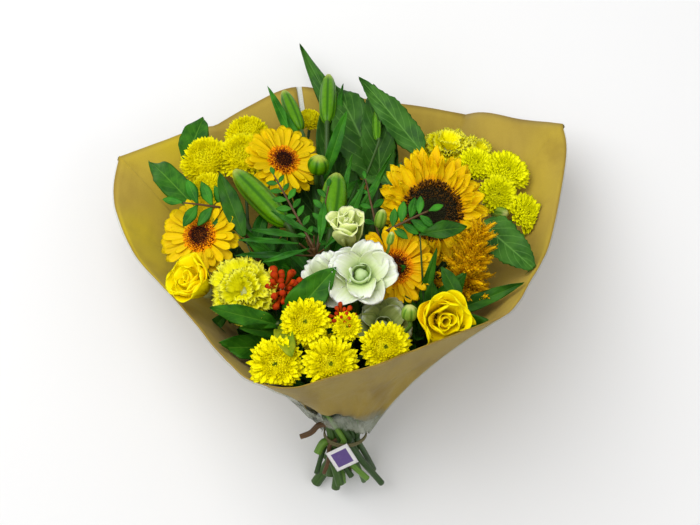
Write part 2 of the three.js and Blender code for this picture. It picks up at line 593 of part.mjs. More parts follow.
// Branches of a spray leave its main stem at or under the fork.
for (const plant of plants.filter((p) => p.fork)) {
  const ends = [
    ...(plant.heads ?? []).map((h) => ({ head: h, radius: 1.7, top: h.joint, lead: h.joint.clone().addScaledVector(h.out, h.bloom.cap[0][0] - 6) })),
    ...(plant.buds ?? []).map(([foot, tip, r]) => {
      const out = V(...tip).sub(V(...foot)).normalize();
      return { radius: Math.max(1.5, 0.26 * r), top: V(...foot), lead: V(...foot).addScaledVector(out, -10) };
    }),
  ];
  plant.branches = ends.map((end, i) => {
    const index = 5 + (i % 2); // every second branch starts lower
    const foot = plant.main.points[index];
    const line = { plant, parent: plant.main, index, ...end, points: [foot.clone(), foot.clone().lerp(end.lead, 0.5), end.lead, end.top] };
    lines.push(line);
    return line;
  });
}

// Nearest points of two segments, as shares along each.
function nearest(a0, a1, b0, b1) {
  const [d1, d2, r] = [a1.clone().sub(a0), b1.clone().sub(b0), a0.clone().sub(b0)];
  const [a, e, f, c, b] = [d1.dot(d1), d2.dot(d2), d2.dot(r), d1.dot(r), d1.dot(d2)];
  const det = a * e - b * b;
  const clamp = (x) => Math.min(1, Math.max(0, x));
  let s = det > 1e-9 ? clamp((b * f - c * e) / det) : 0;
  const t = clamp((b * s + f) / e);
  s = clamp((b * t - c) / a);
  return [s, t];
}

const held = (line, i) => i >= line.points.length - 2;
const fixed = (line, i) => held(line, i) || (!line.parent && (i === 2 || i === 3));
const blooms = plants.flatMap((plant) =>
  (plant.heads ?? []).map((h) => ({ plant, at: h.joint.clone().addScaledVector(h.out, h.bloom.face * 0.6), clear: h.clear })),
);

// Pushes lines of different plants apart, and clear of other plants' blooms and of the floor.
for (let round = 0; round < 160; round++) {
  lines.forEach((a, i) => {
    for (const b of lines.slice(i + 1)) {
      if (a.plant === b.plant) continue;
      const need = a.radius + b.radius + GAP;
      for (let m = 0; m + 1 < a.points.length; m++) {
        for (let n = 0; n + 1 < b.points.length; n++) {
          const [a0, a1, b0, b1] = [a.points[m], a.points[m + 1], b.points[n], b.points[n + 1]];
          const [s, t] = nearest(a0, a1, b0, b1);
          const apart = b0.clone().lerp(b1, t).sub(a0.clone().lerp(a1, s));
          const distance = apart.length();
          if (distance >= need) continue;
          const step = distance > 1e-6 ? apart.multiplyScalar((0.3 * (need - distance)) / distance) : V(0.1, 0, 0);
          if (!fixed(a, m)) a0.addScaledVector(step, -(1 - s));
          if (!fixed(a, m + 1)) a1.addScaledVector(step, -s);
          if (!fixed(b, n)) b0.addScaledVector(step, 1 - t);
          if (!fixed(b, n + 1)) b1.addScaledVector(step, t);
        }
      }
    }
  });
  for (const line of lines) {
    for (const { plant, at, clear } of blooms) {
      if (plant === line.plant) continue;
      line.points.forEach((point, i) => {
        const away = point.clone().sub(at);
        if (fixed(line, i) || away.length() >= clear) return;
        point.addScaledVector(away.normalize(), 0.3 * (clear - point.distanceTo(at)));
      });
    }
    line.points.forEach((point, i) => fixed(line, i) || keepInside(point, line.radius));
    if (line.parent) line.points[0].copy(line.parent.points[line.index]);
  }
}

// The point at a share of a line's length between the tie and its top.
function along(line, share) {
  const points = line.points.slice(3);
  const lengths = points.slice(1).map((point, i) => point.distanceTo(points[i]));
  let left = share * lengths.reduce((sum, x) => sum + x, 0);
  const i = lengths.findIndex((x) => (left -= x) <= 0);
  return i < 0 ? points[points.length - 1].clone() : points[i + 1].clone().lerp(points[i], -left / lengths[i]);
}

// ---------------------------------------------------------------- foliage
const LEAF_SHAPE = [[0, 0.12], [0.16, 0.3], [0.42, 1], [0.75, 0.72], [1, 0]];

function leafBlade(foot, { tip, width, bend = 6, teeth = 0, rows = 5, fold = 0.15 }) {
  const middle = foot.clone().lerp(tip, 0.5).add(V(0, 0, bend));
  const curve = new THREE.QuadraticBezierCurve3(foot, middle, tip);
  const shares = teeth ? Array.from({ length: rows + 1 }, (_, i) => i / rows) : LEAF_SHAPE.map(([share]) => share);
  const shape = (share) => {
    const k = Math.max(1, LEAF_SHAPE.findIndex(([s]) => s >= share));
    const [[s0, w0], [s1, w1]] = [LEAF_SHAPE[k - 1], LEAF_SHAPE[k]];
    return w0 + ((w1 - w0) * (share - s0)) / (s1 - s0);
  };
  const widths = shares.map((share, i) => width * shape(share) * (1 + (i % 2 ? teeth : -teeth)));
  return blade(shares.map((share) => curve.getPoint(share)), widths, V(0, 0, 1), 1.2, fold);
}

// A feather leaf: a rib with pairs of leaflets and one at the end.
function frond(foot, { tip, pairs, leaflet }) {
  const curve = new THREE.QuadraticBezierCurve3(foot, foot.clone().lerp(V(...tip), 0.5).add(V(0, 0, 6)), V(...tip));
  const stations = Array.from({ length: 5 }, (_, i) => curve.getPoint(i / 4));
  const leaflets = Array.from({ length: 2 * pairs + 1 }, (_, i) => {
    const share = Math.min(1, 0.16 + (0.84 * Math.floor(i / 2)) / pairs);
    const [at, ahead] = [curve.getPoint(share), curve.getTangent(share)];
    const side = ahead.clone().cross(V(0, 0, 1)).normalize().multiplyScalar(i % 2 ? 1 : -1);
    const out = i === 2 * pairs ? ahead : ahead.clone().multiplyScalar(0.5).add(side).add(V(0, 0, 0.2)).normalize();
    const foot = at.clone().addScaledVector(out, i === 2 * pairs ? -2 : 0.4);
    const spine = [0, 0.5, 1].map((s) => foot.clone().addScaledVector(out, leaflet * s));
    return blade(spine, [0.9, 0.2 * leaflet, 0], V(0, 0, 1));
  });
  return { rib: tube(stations, [1.6, 1.5, 1.4, 1.2, 1], 4), leaflets };
}

// ---------------------------------------------------------------- nodes
// core is never cut; soft is cut clear of every other core, and of the soft solids listed before it.
const nodes = [];
const add = (name, colour, core, soft, extra = {}) => nodes.push({ name, colour, core, soft, plant: null, ...extra });

const GREEN = 0x3f7a1e;
const COLOURS = {
  gerbera: 0xf7c400, sunflower: 0xf5ab00, pompon: 0xf2e200, santini: 0xf7e300, chrysanthemum: 0xf2e300, carnation: 0xe6e436,
  rose: 0xf5d300, lisianthus: 0xeef0e0, club_buds: 0xd8431a, plume: 0xd99a08, eye: 0x4a1d08, disc: 0x2c2210,
};
const colourOf = (name) => COLOURS[Object.keys(COLOURS).find((key) => name.startsWith(key))] ?? GREEN;

add("film_sleeve", 0xdfe3df, film, null, { look: { transparent: true, opacity: 0.4, roughness: 0.2 } });
add("kraft_paper", 0xb8963e, paper, null, { look: { roughness: 0.8 } });
add("stem_tie", 0xe9dfc0, band(), null, { look: { roughness: 0.7 } });

const placed = (solid, joint, out) => {
  const x = V(0, 1, 0).cross(out).normalize();
  const y = out.clone().cross(x);
  return solid.transform(new THREE.Matrix4().makeBasis(x, y, out).setPosition(joint).toArray());
};

for (const plant of plants) {
  const { main, branches = [] } = plant;
  const soft = [];
  const stemTube = ({ points, radius, head: h }, sides, taper) => {
    const cap = (h?.bloom.cap ?? []).map(([past, r]) => [h.joint.clone().addScaledVector(h.out, past), r]);
    const shaft = points.slice(0, cap.length ? -1 : undefined).map((point, i) => [point, radius * taper(i)]);
    const path = [...shaft, ...cap];
    return tube(path.map((x) => x[0]), path.map((x) => x[1]), sides);
  };
  const cores = [stemTube(main, plant.radius > 4 ? 6 : 5, (i) => (i === 0 ? 1.1 : 1 - 0.03 * i))];
  for (const branch of branches) cores.push(stemTube(branch, 4, (i) => (i ? 1 : 1.2)));
  for (const [foot, tip, r] of plant.buds ?? []) {
    const out = V(...tip).sub(V(...foot));
    const length = out.length();
    cores.push(placed(bud(r, length, r > 7 ? 0.12 : 0.06), V(...foot), out.normalize()));
  }
  for (const l of plant.leaves ?? []) soft.push(leafBlade(along(main, l.from), l));
  if (plant.frond) {
    const made = frond(along(main, 1), plant.frond);
    cores.push(made.rib);
    soft.push(...made.leaflets);
  }
  plant.node = { name: `${plant.name}_stem`, core: fuse(cores).simplify(0.1), soft: soft.length ? fuse(soft).simplify(0.1) : null };
}

for (const plant of plants) {
  for (const { name, bloom, joint, out } of plant.heads ?? []) {
    for (const [part, solid] of Object.entries(bloom).filter(([key]) => !["cap", "face"].includes(key))) {
      const label = part === "petals" && !/gerbera|sunflower/.test(name) ? name : `${name}_${part}`;
      add(label, part === "petals" ? colourOf(name) : COLOURS[part], null, placed(solid, joint, out), { plant });
    }
  }
}
for (const plant of plants) add(plant.node.name, GREEN, plant.node.core, plant.node.soft, { plant });
add("food_sachet", 0xf2f0ee, null, sachet(), { look: { roughness: 0.4 } });

const grownCores = nodes.map(({ core }) => core && { wide: grown(core, CUT), close: grown(core, SEAT / 3) });
const boxOf = (solid) => {
  const { min, max } = solid.boundingBox();
  return new THREE.Box3(V(...min), V(...max));
};
const meets = (a, b) => boxOf(a).intersectsBox(boxOf(b));
const done = [];
nodes.forEach((node, i) => {
  if (node.soft) {
    const cutters = nodes
      .map((other, j) => (j === i ? null : other.plant && other.plant === node.plant ? grownCores[j]?.close : grownCores[j]?.wide))
      .filter((core) => core && meets(core, node.soft));
    cutters.push(...done.filter((solid) => meets(solid, node.soft)));
    if (cutters.length) node.soft = node.soft.subtract(fuse(cutters)).simplify(0.15);
    done.push(grown(node.soft, CUT));
  }
  node.solid = largest(fuse([node.core, node.soft].filter(Boolean)));
});

const group = new THREE.Group();
for (const { name, colour, solid, look } of nodes) {
  const material = new THREE.MeshStandardMaterial({ color: colour, roughness: 0.6, metalness: 0, ...look });
  const mesh = new THREE.Mesh(geometryOf(solid), material);
  mesh.name = name;
  group.add(mesh);
}
group.position.copy(ORIGIN);

export default group;
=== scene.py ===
"""A mixed flower bouquet in brown paper and a clear film sleeve, lying on its back.

Lengths are in millimetres of the layout, measured from the floor right under the tie, until a
piece is finished; `Sheaf.piece` then moves it into the frame, in metres. The stems point to -Y.
"""

import logging
import math
from dataclasses import dataclass, replace
from enum import Enum
from typing import Callable, Iterable, NamedTuple, Sequence

import bpy
import numpy as np
from mathutils import Euler, Matrix, Vector, noise


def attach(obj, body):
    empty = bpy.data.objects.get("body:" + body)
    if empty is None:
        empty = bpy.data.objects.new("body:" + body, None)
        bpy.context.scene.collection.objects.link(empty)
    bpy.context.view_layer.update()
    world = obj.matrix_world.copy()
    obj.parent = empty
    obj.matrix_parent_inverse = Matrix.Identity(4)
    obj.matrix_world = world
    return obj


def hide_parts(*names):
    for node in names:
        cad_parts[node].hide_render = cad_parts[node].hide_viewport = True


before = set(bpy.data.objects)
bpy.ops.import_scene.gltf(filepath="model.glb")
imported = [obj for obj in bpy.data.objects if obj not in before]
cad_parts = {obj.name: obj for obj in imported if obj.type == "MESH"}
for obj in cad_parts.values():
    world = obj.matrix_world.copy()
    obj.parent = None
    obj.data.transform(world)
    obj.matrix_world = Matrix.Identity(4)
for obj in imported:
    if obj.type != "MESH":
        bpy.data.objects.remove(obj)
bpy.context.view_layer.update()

logging.basicConfig(level=logging.INFO, format="%(message)s")
LOG = logging.getLogger("bouquet")

Point = Sequence[float]
Colour = tuple[float, float, float]
Grid = np.ndarray  # one value or point for each row and column

MM = 0.001
ORIGIN = np.array((5.545, -183.96, 0.0))  # from the layout's zero to the frame's
NECK = np.array((0.0, 0.0, 72.0))  # the middle of the tie
RISE = math.radians(45)  # of the bouquet's axis above the floor
ACROSS = np.array((1.0, 0.0, 0.0))
ALONG = np.array((0.0, math.cos(RISE), math.sin(RISE)))
FRONT = np.array((0.0, -math.sin(RISE), math.cos(RISE)))
GOLDEN = math.pi * (3 - math.sqrt(5))
TURN = 2 * math.pi


def rgb(red: int, green: int, blue: int) -> Colour:
    """Gives the linear colour of a colour that was read off a screen in 0 to 255."""
    shares = (red / 255, green / 255, blue / 255)
    return tuple(x / 12.92 if x <= 0.04045 else ((x + 0.055) / 1.055) ** 2.4 for x in shares)


def unit(vector: Point) -> np.ndarray:
    """Gives the vector at length one."""
    vector = np.asarray(vector, float)
    return vector / max(np.linalg.norm(vector), 1e-9)


def neck_point(across: float, front: float, height: float) -> np.ndarray:
    """Gives the layout point at a place in the tie's own frame."""
    return NECK + ACROSS * across + FRONT * front + ALONG * height


def smooth(low: float, high: float, x: np.ndarray | float) -> np.ndarray | float:
    """Rises smoothly from 0 at low to 1 at high."""
    share = np.clip((np.asarray(x, float) - low) / (high - low), 0, 1)
    return share * share * (3 - 2 * share)


def catmull(points: Sequence[Point], steps: int, closed: bool = False) -> np.ndarray:
    """Draws a smooth curve through points.

    Args:
        points: the points it passes, of any number of coordinates.
        steps: how many points it gives for each stretch.
        closed: whether it returns to its start.

    Returns:
        The curve's points, one a row.
    """
    given = np.asarray(points, float)
    count = len(given)
    spans = count if closed else count - 1
    at = (lambda i: given[i % count]) if closed else (lambda i: given[min(max(i, 0), count - 1)])
    curve = []
    for i in range(spans):
        a, b, c, d = at(i - 1), at(i), at(i + 1), at(i + 2)
        for s in np.arange(steps) / steps:
            bends = (c - a) * s + (2 * a - 5 * b + 4 * c - d) * s**2 + (3 * b - a - 3 * c + d) * s**3
            curve.append(0.5 * (2 * b + bends))
    if not closed:
        curve.append(given[-1])
    return np.array(curve)


# ---------------------------------------------------------------- node trees, for shaders and shapes
def maths(operation: str) -> Callable[..., "Wire"]:
    """Makes the method of a Wire that adds a Math node of this kind."""
    return lambda wire, *others: wire.math(operation, *others)


class Wire:
    """A node's output whose operators add the Math nodes of the same maths."""

    def __init__(self, graph: "Graph", socket: bpy.types.NodeSocket) -> None:
        """Keeps the graph and the output."""
        self.graph = graph
        self.socket = socket

    def math(self, operation: str, *others: "Wire | float") -> "Wire":
        """Adds a Math node with this output as its first value."""
        return self.graph.wire("ShaderNodeMath", {"operation": operation}, dict(enumerate((self, *others))))

    __add__ = __radd__ = maths("ADD")
    __sub__ = maths("SUBTRACT")
    __mul__ = __rmul__ = maths("MULTIPLY")
    __truediv__ = maths("DIVIDE")
    __pow__ = maths("POWER")
    __mod__ = maths("FLOORED_MODULO")
    above = maths("GREATER_THAN")  # 1 where this is greater, 0 elsewhere
    largest = maths("MAXIMUM")
    size = maths("ABSOLUTE")
    sine = maths("SINE")
    cosine = maths("COSINE")
    floor = maths("FLOOR")

    def __rsub__(self, other: float) -> "Wire":
        """Takes this from a number."""
        return self.graph.wire("ShaderNodeMath", {"operation": "SUBTRACT"}, {0: other, 1: self})

    def step(self, low: float, high: float) -> "Wire":
        """Rises smoothly from 0 at low to 1 at high."""
        values = {"Value": self, "From Min": low, "From Max": high}
        return self.graph.wire("ShaderNodeMapRange", {"interpolation_type": "SMOOTHSTEP"}, values)


Tint = Wire | Colour


class Graph:
    """Builds a node tree: every node comes from `node`, and most are read through a Wire."""

    def __init__(self, tree: bpy.types.NodeTree) -> None:
        """Keeps the tree."""
        self.tree = tree

    def node(self, kind: str, settings: dict | None = None, values: dict | None = None) -> bpy.types.Node:
        """Adds one node.

        Args:
            kind: the node's type.
            settings: its properties; "stops" gives a ramp's places and colours.
            values: what goes to its inputs, by name or index: a Wire, an output or a value.

        Returns:
            The node.
        """
        node = self.tree.nodes.new(kind)
        for name, value in (settings or {}).items():
            if name == "stops":
                ramp = node.color_ramp
                while len(ramp.elements) < len(value):
                    ramp.elements.new(0.5)
                for element, (place, colour) in zip(ramp.elements, value):
                    element.position = place
                    element.color = (*colour, 1)
            else:
                setattr(node, name, value)
        for key, value in (values or {}).items():
            socket = node.inputs[key]
            if isinstance(value, Wire):
                value = value.socket
            if isinstance(value, bpy.types.NodeSocket):
                self.tree.links.new(value, socket)
            elif socket.type == "RGBA" and len(value) == 3:
                socket.default_value = (*value, 1)
            else:
                socket.default_value = value
        return node

    def wire(
        self, kind: str, settings: dict | None = None, values: dict | None = None, output: int | str = 0
    ) -> Wire:
        """Adds a node and gives one of its outputs as a Wire."""
        return Wire(self, self.node(kind, settings, values).outputs[output])

    def blend(self, factor: Wire | float, first: Tint, second: Tint, kind: str = "MIX") -> Wire:
        """Mixes two colours."""
        settings = {"data_type": "RGBA", "blend_type": kind}
        return self.wire("ShaderNodeMix", settings, {0: factor, 6: first, 7: second}, 2)

    def between(self, factor: Wire | float, low: Wire | float, high: Wire | float) -> Wire:
        """Goes from low to high as the factor goes from 0 to 1."""
        settings = {"data_type": "FLOAT", "clamp_factor": False}
        return self.wire("ShaderNodeMix", settings, {0: factor, 2: low, 3: high})

    def vector(self, operation: str, *values: object) -> Wire:
        """Adds a Vector Math node."""
        return self.wire("ShaderNodeVectorMath", {"operation": operation}, dict(enumerate(values)))

    def scaled(self, vector: Wire, factor: Wire | float) -> Wire:
        """Gives a vector times a number."""
        return self.wire("ShaderNodeVectorMath", {"operation": "SCALE"}, {0: vector, "Scale": factor})

    def combine(self, x: Wire | float = 0.0, y: Wire | float = 0.0, z: Wire | float = 0.0) -> Wire:
        """Makes a vector of three values."""
        return self.wire("ShaderNodeCombineXYZ", None, {0: x, 1: y, 2: z})

    def split(self, vector: Wire) -> tuple[Wire, Wire, Wire]:
        """Takes a vector apart."""
        node = self.node("ShaderNodeSeparateXYZ", None, {0: vector})
        return tuple(Wire(self, output) for output in node.outputs[:3])

    def noise(self, place: Wire, scale: float, detail: float = 2.0, roughness: float = 0.5) -> Wire:
        """Gives a noise texture's value."""
        values = {"Vector": place, "Scale": scale, "Detail": detail, "Roughness": roughness}
        return self.wire("ShaderNodeTexNoise", None, values)

    def ramp(self, factor: Wire, stops: Sequence[tuple[float, Colour]]) -> Wire:
        """Gives a colour ramp's colour."""
        return self.wire("ShaderNodeValToRGB", {"stops": stops}, {0: factor})


# ---------------------------------------------------------------- shapes
class Outline(Enum):
    """The outline of a petal or leaf: places along it, and the share of its full half width at each."""

    STRAP = ((0, 0.42), (0.25, 0.62), (0.55, 0.92), (0.8, 1.0), (0.92, 0.84), (0.98, 0.5), (1, 0.16))
    SPEAR = ((0, 0.4), (0.15, 0.66), (0.4, 1.0), (0.62, 0.92), (0.82, 0.6), (0.94, 0.26), (1, 0.03))
    SPOON = ((0, 0.4), (0.4, 0.62), (0.75, 1.0), (0.9, 0.86), (0.97, 0.5), (1, 0.18))
    FAN = ((0, 0.1), (0.3, 0.22), (0.6, 0.62), (0.85, 0.96), (1, 1.0))
    SHELL = ((0, 0.3), (0.18, 0.62), (0.45, 0.96), (0.7, 1.0), (0.88, 0.88), (1, 0.62))
    LANCE = ((0, 0.14), (0.12, 0.3), (0.35, 0.86), (0.5, 1), (0.7, 0.84), (0.88, 0.42), (0.97, 0.12), (1, 0.02))
    OVAL = (
        (0, 0.14), (0.07, 0.44), (0.22, 0.84), (0.42, 1), (0.64, 0.9), (0.84, 0.54), (0.96, 0.18), (1, 0.02)
    )
    HEART = (
        (0, 0.18), (0.06, 0.62), (0.18, 0.94), (0.34, 1), (0.55, 0.86), (0.78, 0.5), (0.93, 0.16), (1, 0.02)
    )
    CLUB = ((0, 0.34), (0.4, 0.42), (0.62, 0.6), (0.8, 1.0), (0.93, 0.86), (1, 0.3))

    def width(self, share: np.ndarray) -> np.ndarray:
        """Gives the share of the half width at shares along the blade."""
        places, widths = zip(*self.value)
        return np.interp(share, places, widths)


class Patch(NamedTuple):
    """A closed piece of skin: its points, its faces, and for each point (across, along, upper side)."""

    points: np.ndarray
    faces: list[tuple[int, ...]]
    blade: np.ndarray


def closed(upper: Grid, under: Grid, across: Grid, along: Grid, below: float = 0.0) -> Patch:
    """Joins an upper and an under side at the upper one's rim.

    Args:
        upper: the upper side's points, rows along the blade and columns across it.
        under: the under side's points, of which those inside the rim are used.
        across: the place across the blade of each point, -1 to 1.
        along: the place along the blade of each point, 0 to 1.
        below: the mark of the under side, where the upper side has 1.

    Returns:
        The closed skin, whose corner cells are cut through the corner so that no two faces coincide.
    """
    rows, cols, _ = upper.shape
    index = np.arange(rows * cols).reshape(rows, cols)
    lower = index.copy()
    lower[1:-1, 1:-1] = rows * cols + np.arange((rows - 2) * (cols - 2)).reshape(rows - 2, cols - 2)
    faces: list[tuple[int, ...]] = []
    for r in range(rows - 1):
        for c in range(cols - 1):
            for side, turn in ((index, 1), (lower, -1)):
                cell = [side[r, c], side[r + 1, c], side[r + 1, c + 1], side[r, c + 1]][::turn]
                if r in (0, rows - 2) and c in (0, cols - 2):
                    first = cell.index(index[-(r > 0), -(c > 0)])
                    cell = cell[first:] + cell[:first]
                    faces += [tuple(cell[:3]), (cell[0], cell[2], cell[3])]
                else:
                    faces.append(tuple(cell))
    top = np.stack((across, along, np.ones_like(across)), axis=2)
    bottom = top[1:-1, 1:-1].copy()
    bottom[..., 2] = below
    points = np.vstack((upper.reshape(-1, 3), under[1:-1, 1:-1].reshape(-1, 3)))
    return Patch(points, faces, np.vstack((top.reshape(-1, 3), bottom.reshape(-1, 3))))


def lens(upper: np.ndarray, across: np.ndarray, along: np.ndarray, thickness: float) -> Patch:
    """Closes a sheet into a thin lens."""
    normal = np.cross(np.gradient(upper, axis=0), np.gradient(upper, axis=1))
    normal /= np.maximum(np.linalg.norm(normal, axis=2, keepdims=True), 1e-9)
    return closed(upper, upper - normal * thickness, across, along)


@dataclass(frozen=True)
class Petal:
    """A petal or floret that lies along +X from the origin, its upper side to +Z."""

    length: float
    width: float  # from edge to edge
    outline: Outline
    curl: float = 0.0  # how far its tip turns up, in radians
    curl_from: float = 1.0  # 1 bends evenly, more bends towards the tip
    wrap: float = 0.0  # how far its edges turn up, in radians
    wave: float = 0.0  # height of the waves of its rim
    waves: float = 3.0
    arch: float = 0.0  # how far the corners of its tip hang back, as a share of its length
    fringe: float = 0.0  # height of the teeth of its tip, as a share of its length
    groove: float = 0.0  # depth of two grooves along it
    thickness: float = 0.5
    rows: int = 7
    cols: int = 5

    def patch(self) -> Patch:
        """Gives the petal's closed skin."""
        v = np.linspace(0, 1, self.rows)[:, None] * np.ones((1, self.cols))
        u = np.linspace(-1, 1, self.cols)[None, :] * np.ones((self.rows, 1))
        tooth = np.where(np.arange(self.cols) % 2 == 0, 1.0, -1.0)[None, :]
        reach = v * (1 - self.arch * np.abs(u) ** 2.4) + self.fringe * tooth * smooth(0.75, 1, v)
        fine = np.linspace(0, 1.2, 61)
        angle = self.curl * np.sign(fine) * np.clip(fine, 0, None) ** self.curl_from
        step = self.length * (fine[1] - fine[0])
        forward = np.concatenate(((0,), np.cumsum(np.cos((angle[1:] + angle[:-1]) / 2)))) * step
        upward = np.concatenate(((0,), np.cumsum(np.sin((angle[1:] + angle[:-1]) / 2)))) * step
        bend = np.interp(reach, fine, angle)
        half = 0.5 * self.width * self.outline.width(v)
        wrap = max(self.wrap, 1e-3)
        side = half * np.sin(u * wrap) / wrap
        lift = half * (1 - np.cos(u * wrap)) / wrap
        turns = math.pi * self.waves
        lift += self.wave * np.sin(turns * v + 1.3 * np.sign(u)) * np.abs(u) ** 2 * smooth(0.1, 0.6, v)
        lift += self.wave * np.sin(turns * u) * smooth(0.55, 1, v)
        ends = smooth(0, 0.2, v) * smooth(1, 0.85, v)
        lift -= self.groove * np.exp(-(((np.abs(u) - 0.4) / 0.18) ** 2)) * ends
        x = np.interp(reach, fine, forward) - np.sin(bend) * lift
        z = np.interp(reach, fine, upward) + np.cos(bend) * lift
        return lens(np.stack((x, side, z), axis=2), u, v, self.thickness)


def turned(profile: Sequence[tuple[float, float]], sides: int, ribs: int = 0, depth: float = 0.0) -> Patch:
    """Turns a profile round +Z into a closed skin.

    Args:
        profile: radius and height from the foot to the tip; the first and last are on the axis.
        sides: how many corners a ring has.
        ribs: how many ribs run along it.
        depth: how far the ribs stand out, as a share of the radius.

    Returns:
        The closed skin; across tells a rib from a groove, or the turn, and along is the share of the height.
    """
    low, high = profile[0][1], profile[-1][1]
    points = [(0.0, 0.0, low)]
    blade = [(0.0, 0.0, 1.0)]
    for radius, height in profile[1:-1]:
        for i in range(sides):
            angle = TURN * i / sides
            r = radius * (1 + depth * (abs(math.cos(ribs * angle / 2)) ** 0.6 - 0.7 if ribs else 0))
            points.append((r * math.cos(angle), r * math.sin(angle), height))
            mark = abs(math.cos(ribs * angle / 2)) if ribs else math.sin(angle)
            blade.append((mark, (height - low) / (high - low), 1.0))
    points.append((0.0, 0.0, high))
    blade.append((0.0, 1.0, 1.0))
    faces, last, rings = [], len(points) - 1, len(profile) - 2
    for i in range(sides):
        j = (i + 1) % sides
        faces.append((0, 1 + j, 1 + i))
        for r in range(rings - 1):
            a, b = 1 + r * sides, 1 + (r + 1) * sides
            faces.append((a + i, a + j, b + j, b + i))
        a = 1 + (rings - 1) * sides
        faces.append((a + i, a + j, last))
    return Patch(np.array(points), faces, np.array(blade))


class Sheaf:
    """Gathers the skins of one piece, in layout millimetres, with the attributes that its finish reads."""

    def __init__(self) -> None:
        """Starts empty."""
        self.points: list[np.ndarray] = []
        self.faces: list[tuple[int, ...]] = []
        self.marks: dict[str, list[np.ndarray]] = {"blade": [], "whorl": []}
        self.count = 0

    def add(self, patch: Patch, place: Matrix | None = None, whorl: Point = (0.5, 0.5, 0.0)) -> None:
        """Adds a skin.

        Args:
            patch: the skin; one that a growth made keeps its own whorl marks.
            place: where it goes.
            whorl: its share in the whorl, a random value and its kind.
        """
        points = np.asarray(patch.points, float)
        if place is not None:
            matrix = np.array(place)
            points = points @ matrix[:3, :3].T + matrix[:3, 3]
        start = self.count
        self.faces += [tuple(start + i for i in face) for face in patch.faces]
        self.points.append(points)
        self.marks["blade"].append(np.asarray(patch.blade, float))
        given = getattr(patch, "whorl", None)
        self.marks["whorl"].append(np.tile(whorl, (len(points), 1)) if given is None else given)
        self.count += len(points)

    def move(self, change: Callable[[np.ndarray], np.ndarray]) -> None:
        """Passes every point through a function."""
        self.points = [change(np.vstack(self.points))]
        self.marks = {name: [np.vstack(values)] for name, values in self.marks.items()}

    def piece(self, name: str, finish: "Finish", slot: str, *nodes: str) -> None:
        """Makes the piece in the frame, in metres.

        Args:
            name: its name.
            finish: its material.
            slot: not used.
            nodes: the solids that it is shown instead of.
        """
        points = (np.vstack(self.points) + ORIGIN) * MM
        mesh = bpy.data.meshes.new(name)
        mesh.from_pydata(points.tolist(), [], self.faces)
        for key, values in self.marks.items():
            attribute = mesh.attributes.new(key, "FLOAT_VECTOR", "POINT")
            attribute.data.foreach_set("vector", np.vstack(values).astype(np.float32).ravel())
        mesh.polygons.foreach_set("use_smooth", [True] * len(mesh.polygons))
        mesh.update()
        piece = bpy.data.objects.new(name, mesh)
        bpy.context.scene.collection.objects.link(piece)
        piece.data.materials.append(finish.material())
        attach(piece, "root")
        if nodes:
            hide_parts(*nodes)
        LOG.info("%s: %d points, %d faces", name, self.count, len(self.faces))


# ---------------------------------------------------------------- what repeats or follows a path
Given = Callable[[str], Wire]


class Grown(NamedTuple):
    """Skins that a node tree made, with both marks."""

    points: np.ndarray
    faces: list[tuple[int, ...]]
    blade: np.ndarray
    whorl: np.ndarray


